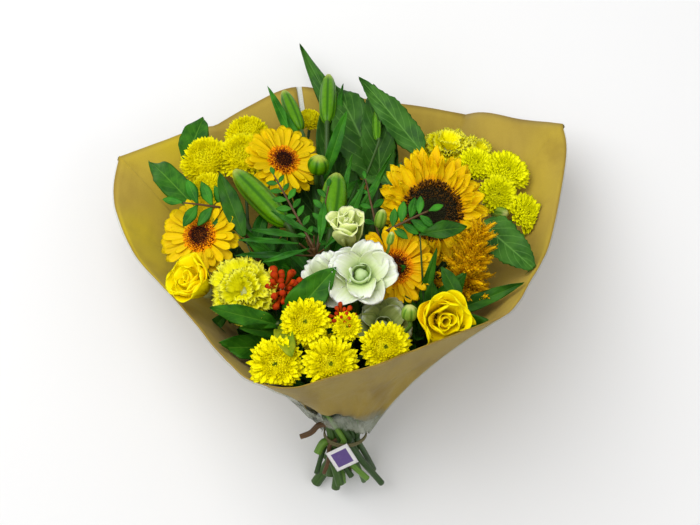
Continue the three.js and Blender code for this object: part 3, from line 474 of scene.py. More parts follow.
class Growth:
    """A geometry node tree with named inputs, and the way to run it on a mesh."""

    def __init__(self, name: str, inputs: dict[str, str], build: Callable[[Graph, Given], Wire]) -> None:
        """Builds the tree.

        Args:
            name: the tree's name.
            inputs: each input's name and the end of its socket type, such as Float.
            build: adds the nodes; it gets the graph and a function that gives an input, and gives the geometry.
        """
        self.tree = bpy.data.node_groups.new(name, "GeometryNodeTree")
        graph, face = Graph(self.tree), self.tree.interface
        for label, kind in {"Geometry": "Geometry", **inputs}.items():
            face.new_socket(name=label, in_out="INPUT", socket_type="NodeSocket" + kind)
        face.new_socket(name="Geometry", in_out="OUTPUT", socket_type="NodeSocketGeometry")
        entry = graph.node("NodeGroupInput")
        made = build(graph, lambda label: Wire(graph, entry.outputs[label]))
        graph.node("NodeGroupOutput", None, {0: made})
        self.sockets = {item.name: item.identifier for item in face.items_tree if item.in_out == "INPUT"}

    def run(self, bed: bpy.types.Mesh, inputs: dict[str, object]) -> Grown:
        """Runs the tree on a mesh.

        Args:
            bed: the mesh that it starts from; it is deleted afterwards.
            inputs: the named inputs.

        Returns:
            The result as plain skins.
        """
        host = bpy.data.objects.new("bed", bed)
        bpy.context.scene.collection.objects.link(host)
        modifier = host.modifiers.new("growth", "NODES")
        modifier.node_group = self.tree
        for label, value in inputs.items():
            modifier[self.sockets[label]] = value
        depsgraph = bpy.context.evaluated_depsgraph_get()
        mesh = bpy.data.meshes.new_from_object(host.evaluated_get(depsgraph), depsgraph=depsgraph)
        host.modifiers.remove(modifier)
        points = np.empty(len(mesh.vertices) * 3, np.float32)
        mesh.vertices.foreach_get("co", points)
        faces = [tuple(polygon.vertices) for polygon in mesh.polygons]
        marks = []
        for name in ("blade", "whorl"):
            values = np.zeros_like(points)
            if name in mesh.attributes:
                mesh.attributes[name].data.foreach_get("vector", values)
            marks.append(values.reshape(-1, 3))
        bpy.data.objects.remove(host)
        for used in (mesh, bed):
            bpy.data.meshes.remove(used)
        return Grown(points.reshape(-1, 3), faces, *marks)

    def repeat(
        self,
        bed: bpy.types.Mesh,
        petal: Patch,
        finish: "Finish",
        seed: int,
        ruffle: tuple[float, float],
        kind: float = 0.0,
        **inputs: object,
    ) -> Grown:
        """Runs the tree with a petal that it repeats.

        Args:
            bed: the mesh that it starts from.
            petal: what it repeats.
            finish: the finish of all.
            seed: a number for other random values.
            ruffle: how far the petals' ends are ruffled, and how many ruffles go to the millimetre.
            kind: a mark that the finish reads.
            inputs: the tree's other inputs.

        Returns:
            The result as plain skins.
        """
        model = bpy.data.objects.new("sample", bpy.data.meshes.new("sample"))
        model.data.from_pydata(np.asarray(petal.points).tolist(), [], petal.faces)
        attribute = model.data.attributes.new("blade", "FLOAT_VECTOR", "POINT")
        attribute.data.foreach_set("vector", np.asarray(petal.blade, np.float32).ravel())
        own = {"Petal": model, "Ruffle": ruffle[0], "Ruffle scale": ruffle[1], "Kind": kind, "Seed": seed}
        grown = self.run(bed, {**own, **inputs, "Finish": finish.material()})
        mesh = model.data
        bpy.data.objects.remove(model)
        bpy.data.meshes.remove(mesh)
        return grown


def chance(graph: Graph, seed: Wire, step: int, low: float = -1.0, high: float = 1.0) -> Wire:
    """Gives a random value from a seed."""
    return graph.wire("FunctionNodeRandomValue", {"data_type": "FLOAT"}, {2: low, 3: high, 8: seed + step}, 1)


def stray(graph: Graph, seed: Wire, step: int, reach: Wire | float) -> Wire:
    """Gives a random vector."""
    return graph.combine(*(chance(graph, seed, step + k) * reach for k in range(3)))


def kept(graph: Graph, name: str) -> tuple[Wire, Wire, Wire]:
    """Reads a vector that a geometry keeps by name."""
    settings = {"data_type": "FLOAT_VECTOR"}
    return graph.split(graph.wire("GeometryNodeInputNamedAttribute", settings, {"Name": name}))


def store(graph: Graph, geometry: Wire, name: str, value: Wire, domain: str = "POINT") -> Wire:
    """Keeps a vector on a geometry by name."""
    settings = {"data_type": "FLOAT_VECTOR", "domain": domain}
    values = {"Geometry": geometry, "Name": name, "Value": value}
    return graph.wire("GeometryNodeStoreNamedAttribute", settings, values)


def finished(graph: Graph, geometry: Wire, push: Wire, given: Given) -> Wire:
    """Ends a tree: makes its instances real, pushes its points and gives it its material."""
    real = graph.wire("GeometryNodeRealizeInstances", None, {0: geometry})
    moved = graph.wire("GeometryNodeSetPosition", None, {"Geometry": real, "Offset": push})
    return graph.wire("GeometryNodeSetMaterial", None, {"Geometry": moved, "Material": given("Finish")})


def facing(graph: Graph, ahead: Wire, up: Wire | Point) -> Wire:
    """Gives the rotation that lays a petal along a direction."""
    axes = {"primary_axis": "X", "secondary_axis": "Z"}
    return graph.wire("FunctionNodeAxesToRotation", axes, {0: ahead, 1: up})


def set_petals(
    graph: Graph, points: Wire, rotation: Wire, size: Wire, share: Wire, step: int, given: Given
) -> Wire:
    """Sets the petal on points and finishes it, with its end ruffled.

    Args:
        graph: the tree's graph.
        points: the points.
        rotation: how the petal is turned at each.
        size: its scale at each.
        share: its mark of its place in the whole.
        step: a number of its own for its random mark.
        given: gives the tree's inputs.

    Returns:
        The finished geometry.
    """
    own_place = {"transform_space": "ORIGINAL"}
    petal = graph.wire("GeometryNodeObjectInfo", own_place, {"Object": given("Petal")}, "Geometry")
    scale = graph.combine(size, size, size)
    values = {"Points": points, "Instance": petal, "Rotation": rotation, "Scale": scale}
    instances = graph.wire("GeometryNodeInstanceOnPoints", None, values)
    mark = graph.combine(share, chance(graph, given("Seed"), step, 0.0, 1.0), given("Kind"))
    marked = store(graph, instances, "whorl", mark, "INSTANCE")
    values = {"Vector": graph.wire("GeometryNodeInputPosition"), "Scale": given("Ruffle scale"), "Detail": 1.0}
    cloud = graph.vector("SUBTRACT", graph.wire("ShaderNodeTexNoise", None, values, 1), (0.5, 0.5, 0.5))
    return finished(graph, marked, graph.scaled(cloud, given("Ruffle") * 2 * kept(graph, "blade")[1]), given)


def build_whorl(graph: Graph, given: Given) -> Wire:
    """Sets petals round +Z, each turned a fixed angle from the last, from the inner to the outer values."""
    seed = given("Seed")
    index = graph.wire("GeometryNodeInputIndex")
    share = (index + 0.5) / given("Count")
    bent = share.math("POWER", given("Bias"))
    pairs = (graph.between(bent, given(f"{way} inner"), given(f"{way} outer")) for way in WAYS)
    radius, height, tilt, size = pairs
    angle = index * given("Divergence") + given("Turn") + chance(graph, seed, 11) * given("Turn spread")
    tilt = tilt + chance(graph, seed, 12) * given("Tilt spread")
    size = size * (chance(graph, seed, 13) * given("Size spread") + 1)
    spot = graph.combine(angle.cosine() * radius, angle.sine() * radius, height)
    points = graph.wire("GeometryNodePoints", None, {"Count": given("Count"), "Position": spot})
    turn = graph.combine(chance(graph, seed, 14) * given("Roll spread"), tilt - math.pi / 2, angle)
    rotation = graph.wire("FunctionNodeEulerToRotation", None, {0: turn})
    return set_petals(graph, points, rotation, size, share, 15, given)


def build_fluff(graph: Graph, given: Given) -> Wire:
    """Sets florets all over a body, along its normals and leaning to +Z."""
    seed = given("Seed")
    values = {"Mesh": given("Geometry"), "Density": given("Density"), "Seed": seed}
    scatter = graph.node("GeometryNodeDistributePointsOnFaces", {"distribute_method": "RANDOM"}, values)
    points, normal = Wire(graph, scatter.outputs["Points"]), Wire(graph, scatter.outputs["Normal"])
    leaning = graph.vector("ADD", normal, graph.combine(0.0, 0.0, given("Lean")))
    ahead = graph.vector("ADD", leaning, stray(graph, seed, 20, given("Stray")))
    size, share = chance(graph, seed, 25, 0.6, 1.25), chance(graph, seed, 26, 0.0, 1.0)
    return set_petals(graph, points, facing(graph, ahead, (0.0, 0.0, 1.0)), size, share, 27, given)


def build_frond(graph: Graph, given: Given) -> Wire:
    """Sets leaflets in pairs along a rib, and one at its end."""
    seed, pairs, up = given("Seed"), given("Pairs"), given("Up")
    index = graph.wire("GeometryNodeInputIndex")
    last = index.above(pairs * 2 - 0.5)
    share = graph.between((index / 2).floor() / pairs, given("Start"), 1.0)
    curve = graph.wire("GeometryNodeMeshToCurve", None, {"Mesh": given("Geometry")})
    sample = graph.node("GeometryNodeSampleCurve", {"mode": "FACTOR"}, {"Curves": curve, "Factor": share})
    spot, tangent = Wire(graph, sample.outputs["Position"]), Wire(graph, sample.outputs["Tangent"])
    side = graph.vector("NORMALIZE", graph.vector("CROSS_PRODUCT", tangent, up))
    flank = graph.scaled(side, ((index % 2) * 2 - 1) * (1 - last) * given("Spread"))
    off = stray(graph, seed, 30, 0.22)
    ahead = graph.vector("ADD", graph.vector("ADD", tangent, flank), off)
    points = graph.wire("GeometryNodePoints", None, {"Count": pairs * 2 + 1, "Position": spot})
    size = ((share * math.pi).sine() * 0.3 + 0.8) * (chance(graph, seed, 35) * 0.14 + 1)
    return set_petals(graph, points, facing(graph, ahead, graph.vector("ADD", up, off)), size, share, 36, given)


def build_stalk(graph: Graph, given: Given) -> Wire:
    """Skins lines of stem, with rings where leaves stood and an uneven surface."""
    curve = graph.wire("GeometryNodeMeshToCurve", None, {"Mesh": given("Geometry")})
    length = graph.wire("GeometryNodeSplineParameter", output="Length")
    thick = graph.wire("GeometryNodeInputNamedAttribute", {"data_type": "FLOAT"}, {"Name": "thick"})
    away = ((length / given("Joint spacing") + 0.63) % 1.0 - 0.5).size() * given("Joint spacing")
    radius = thick * (1 + given("Joint") * (1 - away.step(0.0, 3.5)))
    curve = store(graph, curve, "run", graph.combine(length * 0.01))
    circle = graph.wire("GeometryNodeCurvePrimitiveCircle", None, {"Resolution": given("Sides"), "Radius": 1.0})
    around = graph.wire("GeometryNodeInputIndex") / given("Sides")
    circle = store(graph, circle, "around", graph.combine(around))
    values = {"Curve": curve, "Profile Curve": circle, "Scale": radius, "Fill Caps": True}
    skin = graph.wire("GeometryNodeCurveToMesh", None, values)
    corners = graph.wire("GeometryNodeInputMeshFaceNeighbors", output="Vertex Count")
    skin = store(graph, skin, "cap", graph.combine(corners.above(4.5)), "FACE")
    turn, run, cap = (kept(graph, name)[0] for name in ("around", "run", "cap"))
    skin = store(graph, skin, "blade", graph.combine(turn, run, cap))
    cloud = graph.noise(graph.wire("GeometryNodeInputPosition"), 0.16) - 0.5
    push = graph.scaled(graph.wire("GeometryNodeInputNormal"), cloud * given("Unevenness"))
    return finished(graph, skin, push, given)


def inputs_of(floats: Sequence[str], **others: str) -> dict[str, str]:
    """Lists a tree's inputs: its numbers, then the others with their types."""
    return {**dict.fromkeys(floats, "Float"), **others, "Finish": "Material"}


WAYS = ("Foot", "Height", "Tilt", "Size")
PAIRS = [f"{way} {end}" for way in WAYS for end in ("inner", "outer")]
SPREADS = ["Turn spread", "Tilt spread", "Size spread", "Roll spread"]
COMMON = ["Ruffle", "Ruffle scale", "Kind"]
PETAL = {"Petal": "Object", "Seed": "Int"}
TURNS = ["Divergence", "Turn", "Bias", *PAIRS, *SPREADS]
WHORLS = Growth("whorl", inputs_of(TURNS + COMMON, Count="Int", **PETAL), build_whorl)
FLUFF = Growth("fluff", inputs_of(["Density", "Lean", "Stray", *COMMON], **PETAL), build_fluff)
PLACES = ["Start", "Spread"]
FRONDS = Growth("frond", inputs_of(PLACES + COMMON, Pairs="Int", Up="Vector", **PETAL), build_frond)
STALKS = Growth("stalk", inputs_of(["Joint spacing", "Joint", "Unevenness"], Sides="Int"), build_stalk)


def bed(
    points: Iterable[Point] = (), edges: Sequence = (), faces: Sequence = (), **marks: Sequence[float]
) -> bpy.types.Mesh:
    """Makes the mesh that a growth starts from, with a number for each point by name."""
    mesh = bpy.data.meshes.new("bed")
    mesh.from_pydata([tuple(p) for p in points], list(edges), list(faces))
    for name, values in marks.items():
        mesh.attributes.new(name, "FLOAT", "POINT").data.foreach_set("value", np.asarray(values, np.float32))
    return mesh


@dataclass(frozen=True)
class Whorl:
    """Petals round an axis. A pair gives the inner and the outer value; tilts are degrees from the axis."""

    petal: Petal | Patch
    count: int
    foot: tuple[float, float]
    height: tuple[float, float]
    tilt: tuple[float, float]
    size: tuple[float, float] = (1.0, 1.0)
    bias: float = 1.0
    even: bool = False  # even steps round the axis; otherwise the golden angle
    turn: float = 0.0
    spread: tuple[float, float, float, float] = (0.05, 4.0, 0.05, 0.1)  # turn, tilt in degrees, size, roll
    ruffle: tuple[float, float] = (0.0, 0.1)
    kind: float = 0.0
    seed: int = 1

    def grow(self, finish: "Finish") -> Grown:
        """Gives the whorl's skins."""
        petal = self.petal.patch() if isinstance(self.petal, Petal) else self.petal
        turn, tilt, size, roll = self.spread
        pairs = (*self.foot, *self.height, *np.radians(self.tilt).tolist(), *self.size)
        inputs = dict(zip((*PAIRS, *SPREADS), map(float, (*pairs, turn, math.radians(tilt), size, roll))))
        step = TURN / self.count if self.even else GOLDEN
        return WHORLS.repeat(
            bed(), petal, finish, self.seed, self.ruffle, self.kind,
            Count=self.count, Divergence=step, Turn=float(self.turn), Bias=self.bias, **inputs,
        )


@dataclass(frozen=True)
class Fluff:
    """Florets all over a body that is turned round +Z."""

    body: Sequence[tuple[float, float]]
    floret: Petal
    density: float  # to the square millimetre
    lean: float = 0.6
    stray: float = 0.35
    ruffle: tuple[float, float] = (0.0, 0.1)
    kind: float = 0.0
    seed: int = 1

    def grow(self, finish: "Finish") -> Grown:
        """Gives the florets' skins."""
        core = turned(self.body, 20)
        return FLUFF.repeat(
            bed(core.points, (), core.faces), self.floret.patch(), finish, self.seed, self.ruffle, self.kind,
            Density=self.density, Lean=self.lean, Stray=self.stray,
        )


# ---------------------------------------------------------------- finishes
MADE: dict[str, bpy.types.Material] = {}  # the materials by their finish's name


@dataclass(frozen=True)
class Finish:
    """A material by name; each kind of finish paints its own surface."""

    name: str

    def material(self) -> bpy.types.Material:
        """Gives the material, made once."""
        if self.name not in MADE:
            material = MADE[self.name] = bpy.data.materials.new(self.name + "_look")
            material.use_nodes = True
            material.node_tree.nodes.clear()
            graph = Graph(material.node_tree)
            graph.node("ShaderNodeOutputMaterial", None, {0: self.surface(graph)})
        return MADE[self.name]

    def surface(self, graph: Graph) -> Wire:
        """Gives the shader."""
        raise NotImplementedError

    def marks(self, graph: Graph, name: str) -> tuple[Wire, Wire, Wire]:
        """Reads one of the piece's marks."""
        return graph.split(graph.wire("ShaderNodeAttribute", {"attribute_name": name}, output="Vector"))

    def place(self, graph: Graph) -> Wire:
        """Reads the place on the piece, in metres."""
        return graph.wire("ShaderNodeTexCoord", output="Object")

    def coat(
        self,
        graph: Graph,
        colour: Wire | Colour,
        rough: tuple[Wire, float, float],
        relief: tuple[Wire, float, float],
        specular: float = 0.5,
        glow: tuple[float, Point] = (0.0, (0.001, 0.001, 0.001)),
        sheen: float = 0.0,
    ) -> Wire:
        """Gives a surface.

        Args:
            graph: the material's graph.
            colour: its colour.
            rough: a mask, and the roughness where it is 0 and where it is 1.
            relief: the height of its fine relief, how deep that is in metres, and how clearly it shows.
            specular: how strongly it mirrors.
            glow: how much light passes under its skin, and how far in metres for red, green and blue.
            sheen: how much its fibres shine.

        Returns:
            The shader.
        """
        bump = dict(zip(("Height", "Distance", "Strength"), relief))
        values = {
            "Base Color": colour,
            "Roughness": graph.between(*rough),
            "Normal": graph.wire("ShaderNodeBump", None, bump),
            "Specular IOR Level": specular,
            "Subsurface Weight": glow[0],
            "Subsurface Radius": glow[1],
            "Subsurface Scale": 1.0,
            "Sheen Weight": sheen,
        }
        return graph.wire("ShaderNodeBsdfPrincipled", None, values)

    def dim(self, graph: Graph, colour: Wire, grey: Wire) -> Wire:
        """Multiplies a colour by a grey."""
        return graph.blend(1.0, colour, graph.combine(grey, grey, grey), "MULTIPLY")


@dataclass(frozen=True)
class PetalFinish(Finish):
    """Petals: foot, body and tip colours, streaks along them, and a second colour for another kind."""

    foot: Colour
    body: Colour
    tip: Colour
    shade: Colour
    other: Colour | None = None  # for the whorls of kind 1
    heart: Colour | None = None  # towards the middle of the whorl
    foot_reach: float = 0.35
    tip_from: float = 0.82
    streaks: float = 5.0
    depth: float = 0.35
    spread: tuple[float, float] = (0.86, 1.06)
    roughness: float = 0.5
    glow: float = 0.12

    def surface(self, graph: Graph) -> Wire:
        """Gives the shader."""
        across, along, _ = self.marks(graph, "blade")
        share, dice, kind = self.marks(graph, "whorl")
        stops = ((0.0, self.foot), (self.foot_reach, self.body), (self.tip_from, self.body), (1.0, self.tip))
        colour = graph.ramp(along, stops)
        if self.heart:
            colour = graph.blend((1 - share.step(0.0, 0.5)) * 0.85, colour, self.heart)
        if self.other:
            colour = graph.blend(kind, colour, self.other)
        lines = graph.noise(graph.combine(across * self.streaks, along * 1.4, dice * 37), 1.0, 3.0)
        cloud = graph.noise(self.place(graph), 130.0, 2.0)
        colour = graph.blend(lines.step(0.42, 0.72) * self.depth, colour, self.shade)
        grey = graph.between(dice, *self.spread) * graph.between(cloud, 0.93, 1.07)
        colour = self.dim(graph, colour, grey)
        rough, relief = (lines, self.roughness - 0.08, self.roughness + 0.12), lines * 0.7 + cloud * 0.3
        return self.coat(graph, colour, rough, (relief, 0.0006, 0.5), 0.08, (self.glow, (0.002, 0.002, 0.001)))


@dataclass(frozen=True)
class FloretFinish(Finish):
    """A disc's florets: a colour for the middle, the ring and the rim, by kind, and lighter tips."""

    middle: Colour
    ring: Colour
    rim: Colour
    pollen: Colour
    roughness: float = 0.8

    def surface(self, graph: Graph) -> Wire:
        """Gives the shader."""
        _, along, _ = self.marks(graph, "blade")
        _, dice, kind = self.marks(graph, "whorl")
        colour = graph.ramp(kind, ((0.0, self.middle), (0.5, self.ring), (1.0, self.rim)))
        tips = along.step(0.55, 1.0) * dice.step(0.35, 0.75) * kind.step(0.1, 0.8)
        colour = graph.blend(tips * 0.7, colour, self.pollen)
        grey = graph.between(dice, 0.7, 1.25)
        colour = self.dim(graph, colour, grey)
        cloud = graph.noise(self.place(graph), 700.0, 2.0)
        rough, relief = (cloud, self.roughness - 0.15, self.roughness + 0.1), (cloud, 0.0004, 0.5)
        return self.coat(graph, colour, rough, relief, 0.15)


@dataclass(frozen=True)
class LeafFinish(Finish):
    """Leaves: a middle rib, side veins that slant forward, mottling, a paler under side, young yellow leaves
    and painted shade on leaves deep in the bunch.
    """

    body: Colour
    deep: Colour
    vein: Colour
    under: Colour
    veins: float = 9.0
    slant: float = 1.6
    clear: float = 0.5  # how clearly the side veins show
    roughness: float = 0.46

    def surface(self, graph: Graph) -> Wire:
        """Gives the shader."""
        across, along, side = self.marks(graph, "blade")
        _, dice, youth_and_shade = self.marks(graph, "whorl")
        cloud = graph.noise(self.place(graph), 70.0, 3.0)
        fine = graph.noise(self.place(graph), 900.0, 2.0)
        off = across.size()
        rib = 1 - off.step(0.0, 0.07)
        wave = ((along * self.veins - off * self.slant + cloud * 0.35) % 1.0 - 0.5).size() * 2
        lines = wave.step(0.8, 0.98) * (1 - off.step(0.55, 1.0)) * self.clear
        colour = graph.blend(cloud.step(0.3, 0.7), self.deep, self.body)
        colour = graph.blend(lines.largest(rib * 0.8), colour, self.vein)
        colour = graph.blend((1 - side) * 0.75, colour, self.under)
        young = graph.blend(cloud.step(0.3, 0.7), rgb(112, 140, 12), rgb(160, 164, 18))
        colour = graph.blend(youth_and_shade.step(0.0, 1.0) * 0.85, colour, young)
        grey = graph.between(dice, 0.8, 1.15) * graph.between(fine, 0.94, 1.06)
        # painted shade: a negative mark darkens the leaf, to 0.4 of its colour at -1
        grey = grey * (youth_and_shade.step(-1.0, 0.0) * 0.6 + 0.4)
        colour = self.dim(graph, colour, grey)
        relief = (fine * 0.2 + cloud * 0.3 - lines * 0.6 - rib * 0.6, 0.0009, 0.5)
        rough = (cloud, self.roughness - 0.06, self.roughness + 0.14)
        return self.coat(graph, colour, rough, relief, 0.16, (0.06, (0.001, 0.002, 0.0005)))


@dataclass(frozen=True)
class StemFinish(Finish):
    """Stems: streaks along them, darker blotches, and a pale cut at their ends."""

    body: Colour
    dark: Colour
    cut: Colour = rgb(190, 196, 130)
    roughness: float = 0.5
    blotch: float = 0.6

    def surface(self, graph: Graph) -> Wire:
        """Gives the shader."""
        around, run, cap = self.marks(graph, "blade")
        spin = around * TURN
        lines = graph.noise(graph.combine(spin.cosine() * 2.2, spin.sine() * 2.2, run * 1.2), 1.6, 3.0)
        cloud = graph.noise(self.place(graph), 60.0, 3.0)
        colour = graph.blend(lines.step(0.35, 0.65) * 0.6, self.body, self.dark)
        colour = graph.blend(cloud.step(0.5, 0.75) * self.blotch, colour, self.dark)
        colour = graph.blend(cap.step(0.2, 0.9), colour, self.cut)
        rough, relief = (lines, self.roughness - 0.1, self.roughness + 0.12), lines * 0.7 + cloud * 0.3
        return self.coat(graph, colour, rough, (relief, 0.0008, 0.45), 0.4)


@dataclass(frozen=True)
class PaperFinish(Finish):
    """Brown wrapping paper with fibres, soft yellow patches, worn edges and painted shade on its inside near
    the tie.
    """

    inside: Colour
    outside: Colour
    patch: Colour
    deep: Colour
    painted_inner_shade: Colour = rgb(52, 58, 14)  # painted shade on the inside, near the stems and the tie

    def surface(self, graph: Graph) -> Wire:
        """Gives the shader."""
        _, along, side = self.marks(graph, "blade")
        place = self.place(graph)
        left = (graph.split(place)[0] * -1).step(0.05, 0.2)
        streaks = graph.noise(graph.vector("MULTIPLY", place, (3.0, 0.8, 0.8)), 14.0, 3.0)
        broad = graph.noise(graph.vector("ADD", place, (0.31, 0.0, 0.2)), 6.5, 1.0)
        cloud = graph.noise(place, 24.0, 3.0)
        fibre = graph.noise(graph.vector("MULTIPLY", place, (1.0, 0.35, 1.0)), 1500.0, 3.0, 0.65)
        speck = graph.noise(place, 420.0, 2.0)
        colour = graph.blend(side, self.outside, self.inside)
        faded = broad.step(0.44, 0.6) * (left * 0.6 + 0.25) * (side * 0.6 + 0.4)
        colour = graph.blend(faded, colour, self.patch)
        colour = graph.blend(streaks.step(0.42, 0.7) * (1 - side * 0.6) * 0.5, colour, self.deep)
        marks = (cloud.step(0.5, 0.8) * 0.35, fibre.step(0.45, 0.75) * 0.16, speck.step(0.66, 0.8) * 0.12)
        for mark in (*marks, along.step(0.988, 1.0) * 0.35):
            colour = graph.blend(mark, colour, self.deep)
        # painted shade: the inside turns dark olive towards the tie, where the stems shade it
        colour = graph.blend(side * (1 - along.step(0.25, 0.68)) * 0.75, colour, self.painted_inner_shade)
        rough, relief = (fibre, 0.68, 0.86), (fibre * 0.5 + cloud * 0.5, 0.0007, 0.35)
        return self.coat(graph, colour, rough, relief, 0.3, sheen=0.08)


@dataclass(frozen=True)
class FilmFinish(Finish):
    """Clear wrapping film: mostly seen through, with a grey veil in its folds and gloss."""

    veil: Colour = rgb(140, 146, 122)

    def surface(self, graph: Graph) -> Wire:
        """Gives the shader."""
        _, along, _ = self.marks(graph, "blade")
        place = self.place(graph)
        folds = graph.noise(graph.vector("MULTIPLY", place, (1.0, 0.4, 0.6)), 60.0, 4.0, 0.6)
        fine = graph.noise(place, 260.0, 2.0)
        gloss = self.coat(graph, self.veil, (fine, 0.08, 0.2), (folds * 0.8 + fine * 0.1, 0.004, 0.6))
        clear = graph.wire("ShaderNodeBsdfTransparent", None, {"Color": (0.96, 0.97, 0.95)})
        grazing = graph.wire("ShaderNodeLayerWeight", None, {"Blend": 0.35}, "Facing") ** 3
        low = 1 - along.step(0.12, 0.24)
        veil = 0.012 + folds.step(0.55, 0.75) * 0.03 + low * (0.3 + folds.step(0.45, 0.62) * 0.25)
        veil = veil + grazing * 0.05
        return graph.wire("ShaderNodeMixShader", None, {0: veil, 1: clear, 2: gloss})


@dataclass(frozen=True)
class SachetFinish(Finish):
    """A white sachet with a plain coloured panel."""

    border: Colour = rgb(232, 230, 228)
    panel: Colour = rgb(92, 70, 132)

    def surface(self, graph: Graph) -> Wire:
        """Gives the shader."""
        across, along, _ = self.marks(graph, "blade")
        inside = (1 - across.size().step(0.68, 0.7)) * (1 - (along * 2 - 1).size().step(0.68, 0.7))
        seal = ((along * 60) % 1.0).step(0.3, 0.7) * (1 - inside)
        colour = graph.blend(inside, self.border, self.panel)
        cloud = graph.noise(self.place(graph), 220.0, 2.0)
        colour = graph.blend(cloud.step(0.5, 0.8) * 0.2, colour, rgb(150, 140, 150))
        rough, relief = (cloud, 0.28, 0.42), (seal * 0.3 + cloud, 0.0006, 0.5)
        return self.coat(graph, colour, rough, relief)


@dataclass(frozen=True)
class BandFinish(Finish):
    """A natural rubber band."""

    body: Colour = rgb(98, 92, 50)

    def surface(self, graph: Graph) -> Wire:
        """Gives the shader."""
        cloud = graph.noise(self.place(graph), 500.0, 2.0)
        colour = graph.blend(cloud.step(0.4, 0.7) * 0.4, self.body, rgb(70, 66, 34))
        rough, relief = (cloud, 0.55, 0.7), (cloud, 0.0003, 0.4)
        return self.coat(graph, colour, rough, relief)


@dataclass(frozen=True)
class FloorFinish(Finish):
    """A plain pale floor."""

    body: Colour = (0.86, 0.86, 0.86)

    def surface(self, graph: Graph) -> Wire:
        """Gives the shader."""
        return graph.wire("ShaderNodeBsdfPrincipled", None, {"Base Color": self.body, "Roughness": 0.9})


PETALS = {  # by what the heads' names begin with
    "gerbera": PetalFinish(
        "gerbera_petals", rgb(246, 138, 0), rgb(234, 200, 0), rgb(238, 208, 0), rgb(228, 168, 0),
        foot_reach=0.34, streaks=4.0, depth=0.4,
    ),
    "gerbera_centre": PetalFinish(
        "gerbera_warm_petals", rgb(250, 130, 0), rgb(246, 198, 0), rgb(248, 214, 0), rgb(240, 166, 0),
        foot_reach=0.46, streaks=4.0, depth=0.4,
    ),
    "sunflower": PetalFinish(
        "sunflower_petals", rgb(236, 136, 0), rgb(244, 206, 0), rgb(248, 220, 0), rgb(226, 154, 0),
        foot_reach=0.42, depth=0.55, spread=(0.85, 1.05),
    ),
    "pompon": PetalFinish(
        "pompon_petals", rgb(236, 216, 0), rgb(254, 244, 0), rgb(255, 248, 20), rgb(244, 228, 0), depth=0.25
    ),
    "santini": PetalFinish(
        "santini_petals", rgb(252, 190, 0), rgb(255, 246, 0), rgb(255, 248, 0), rgb(252, 228, 0),
        other=rgb(94, 124, 20), foot_reach=0.25, depth=0.3,
    ),
    "chrysanthemum": PetalFinish(
        "chrysanthemum_petals", rgb(250, 236, 0), rgb(255, 255, 0), rgb(255, 255, 20), rgb(253, 248, 0),
        other=rgb(160, 160, 10), depth=0.3, foot_reach=0.3,
    ),
    "carnation": PetalFinish(
        "carnation_petals", rgb(222, 214, 10), rgb(242, 238, 14), rgb(248, 246, 80), rgb(226, 218, 10),
        foot_reach=0.6, streaks=9.0,
    ),
    "carnation_right": PetalFinish(
        "carnation_bright_petals", rgb(228, 214, 0), rgb(250, 242, 4), rgb(254, 250, 70), rgb(236, 224, 0),
        foot_reach=0.6, streaks=9.0,
    ),
    "rose": PetalFinish(
        "rose_petals", rgb(252, 212, 0), rgb(252, 232, 0), rgb(252, 236, 0), rgb(250, 222, 0),
        heart=rgb(252, 216, 0), foot_reach=0.4, streaks=8.0, depth=0.22, spread=(0.96, 1.02),
    ),
    "lisianthus": PetalFinish(
        "lisianthus_petals", rgb(96, 160, 0), rgb(212, 226, 168), rgb(242, 244, 240), rgb(192, 212, 132),
        other=rgb(150, 196, 24), foot_reach=0.46, tip_from=0.5, streaks=9.0, spread=(0.95, 1.02),
    ),
    "lisianthus_half": PetalFinish(
        "lisianthus_half_petals", rgb(184, 208, 60), rgb(226, 238, 150), rgb(242, 248, 190), rgb(204, 222, 100),
        foot_reach=0.5, streaks=9.0, depth=0.4, spread=(0.92, 1.03),
    ),
    # painted shade: a darker, greener copy of the lisianthus petals for the bloom that sits in shade under the
    # others
    "lisianthus_low": PetalFinish(
        "lisianthus_shaded_petals", rgb(80, 104, 20), rgb(150, 162, 94), rgb(206, 214, 190), rgb(106, 124, 44),
        other=rgb(110, 128, 40), foot_reach=0.7, streaks=9.0, depth=0.4, spread=(0.92, 1.03),
    ),
    "club": PetalFinish(
        "club_bud_skin", rgb(150, 80, 8), rgb(196, 70, 8), rgb(176, 40, 10), rgb(136, 42, 6),
        foot_reach=0.6, streaks=3.0, depth=0.5, roughness=0.6, glow=0.03, spread=(0.75, 1.1),
    ),
    "plume": PetalFinish(
        "plume_fluff", rgb(200, 136, 0), rgb(244, 190, 0), rgb(254, 210, 0), rgb(220, 150, 0),
        foot_reach=0.5, depth=0.4, spread=(0.75, 1.1), glow=0.04,
    ),
}
EYES = {
    "gerbera": FloretFinish(
        "gerbera_eye", rgb(44, 14, 6), rgb(140, 50, 8), rgb(244, 150, 0), rgb(252, 190, 0)
    ),
    "sunflower": FloretFinish(
        "sunflower_disc", rgb(46, 46, 22), rgb(34, 30, 14), rgb(76, 46, 10), rgb(150, 96, 10), 0.6
    ),
}
LEAVES = {
    "sunflower": LeafFinish(
        "sunflower_leaf", rgb(66, 118, 34), rgb(40, 88, 20), rgb(106, 158, 66), rgb(100, 142, 66),
        veins=7.0, slant=2.4, clear=0.45,
    ),
    "broad": LeafFinish(
        "broad_leaf", rgb(54, 112, 16), rgb(28, 80, 8), rgb(88, 138, 36), rgb(78, 126, 40), 8.0, 1.8, 0.2
    ),
    "dark": LeafFinish(
        "dark_leaf", rgb(38, 80, 12), rgb(16, 50, 6), rgb(60, 100, 28), rgb(60, 98, 36), 8.0, 1.6, 0.25
    ),
    "lily": LeafFinish(
        "lily_leaf", rgb(58, 130, 18), rgb(32, 94, 12), rgb(90, 150, 40), rgb(84, 138, 46), 5.0, 5.0, 0.15
    ),
    "feather": LeafFinish(
        "feather_leaflet", rgb(56, 132, 24), rgb(28, 92, 14), rgb(92, 158, 50), rgb(78, 136, 48), 7.0, 1.4, 0.15
    ),
}
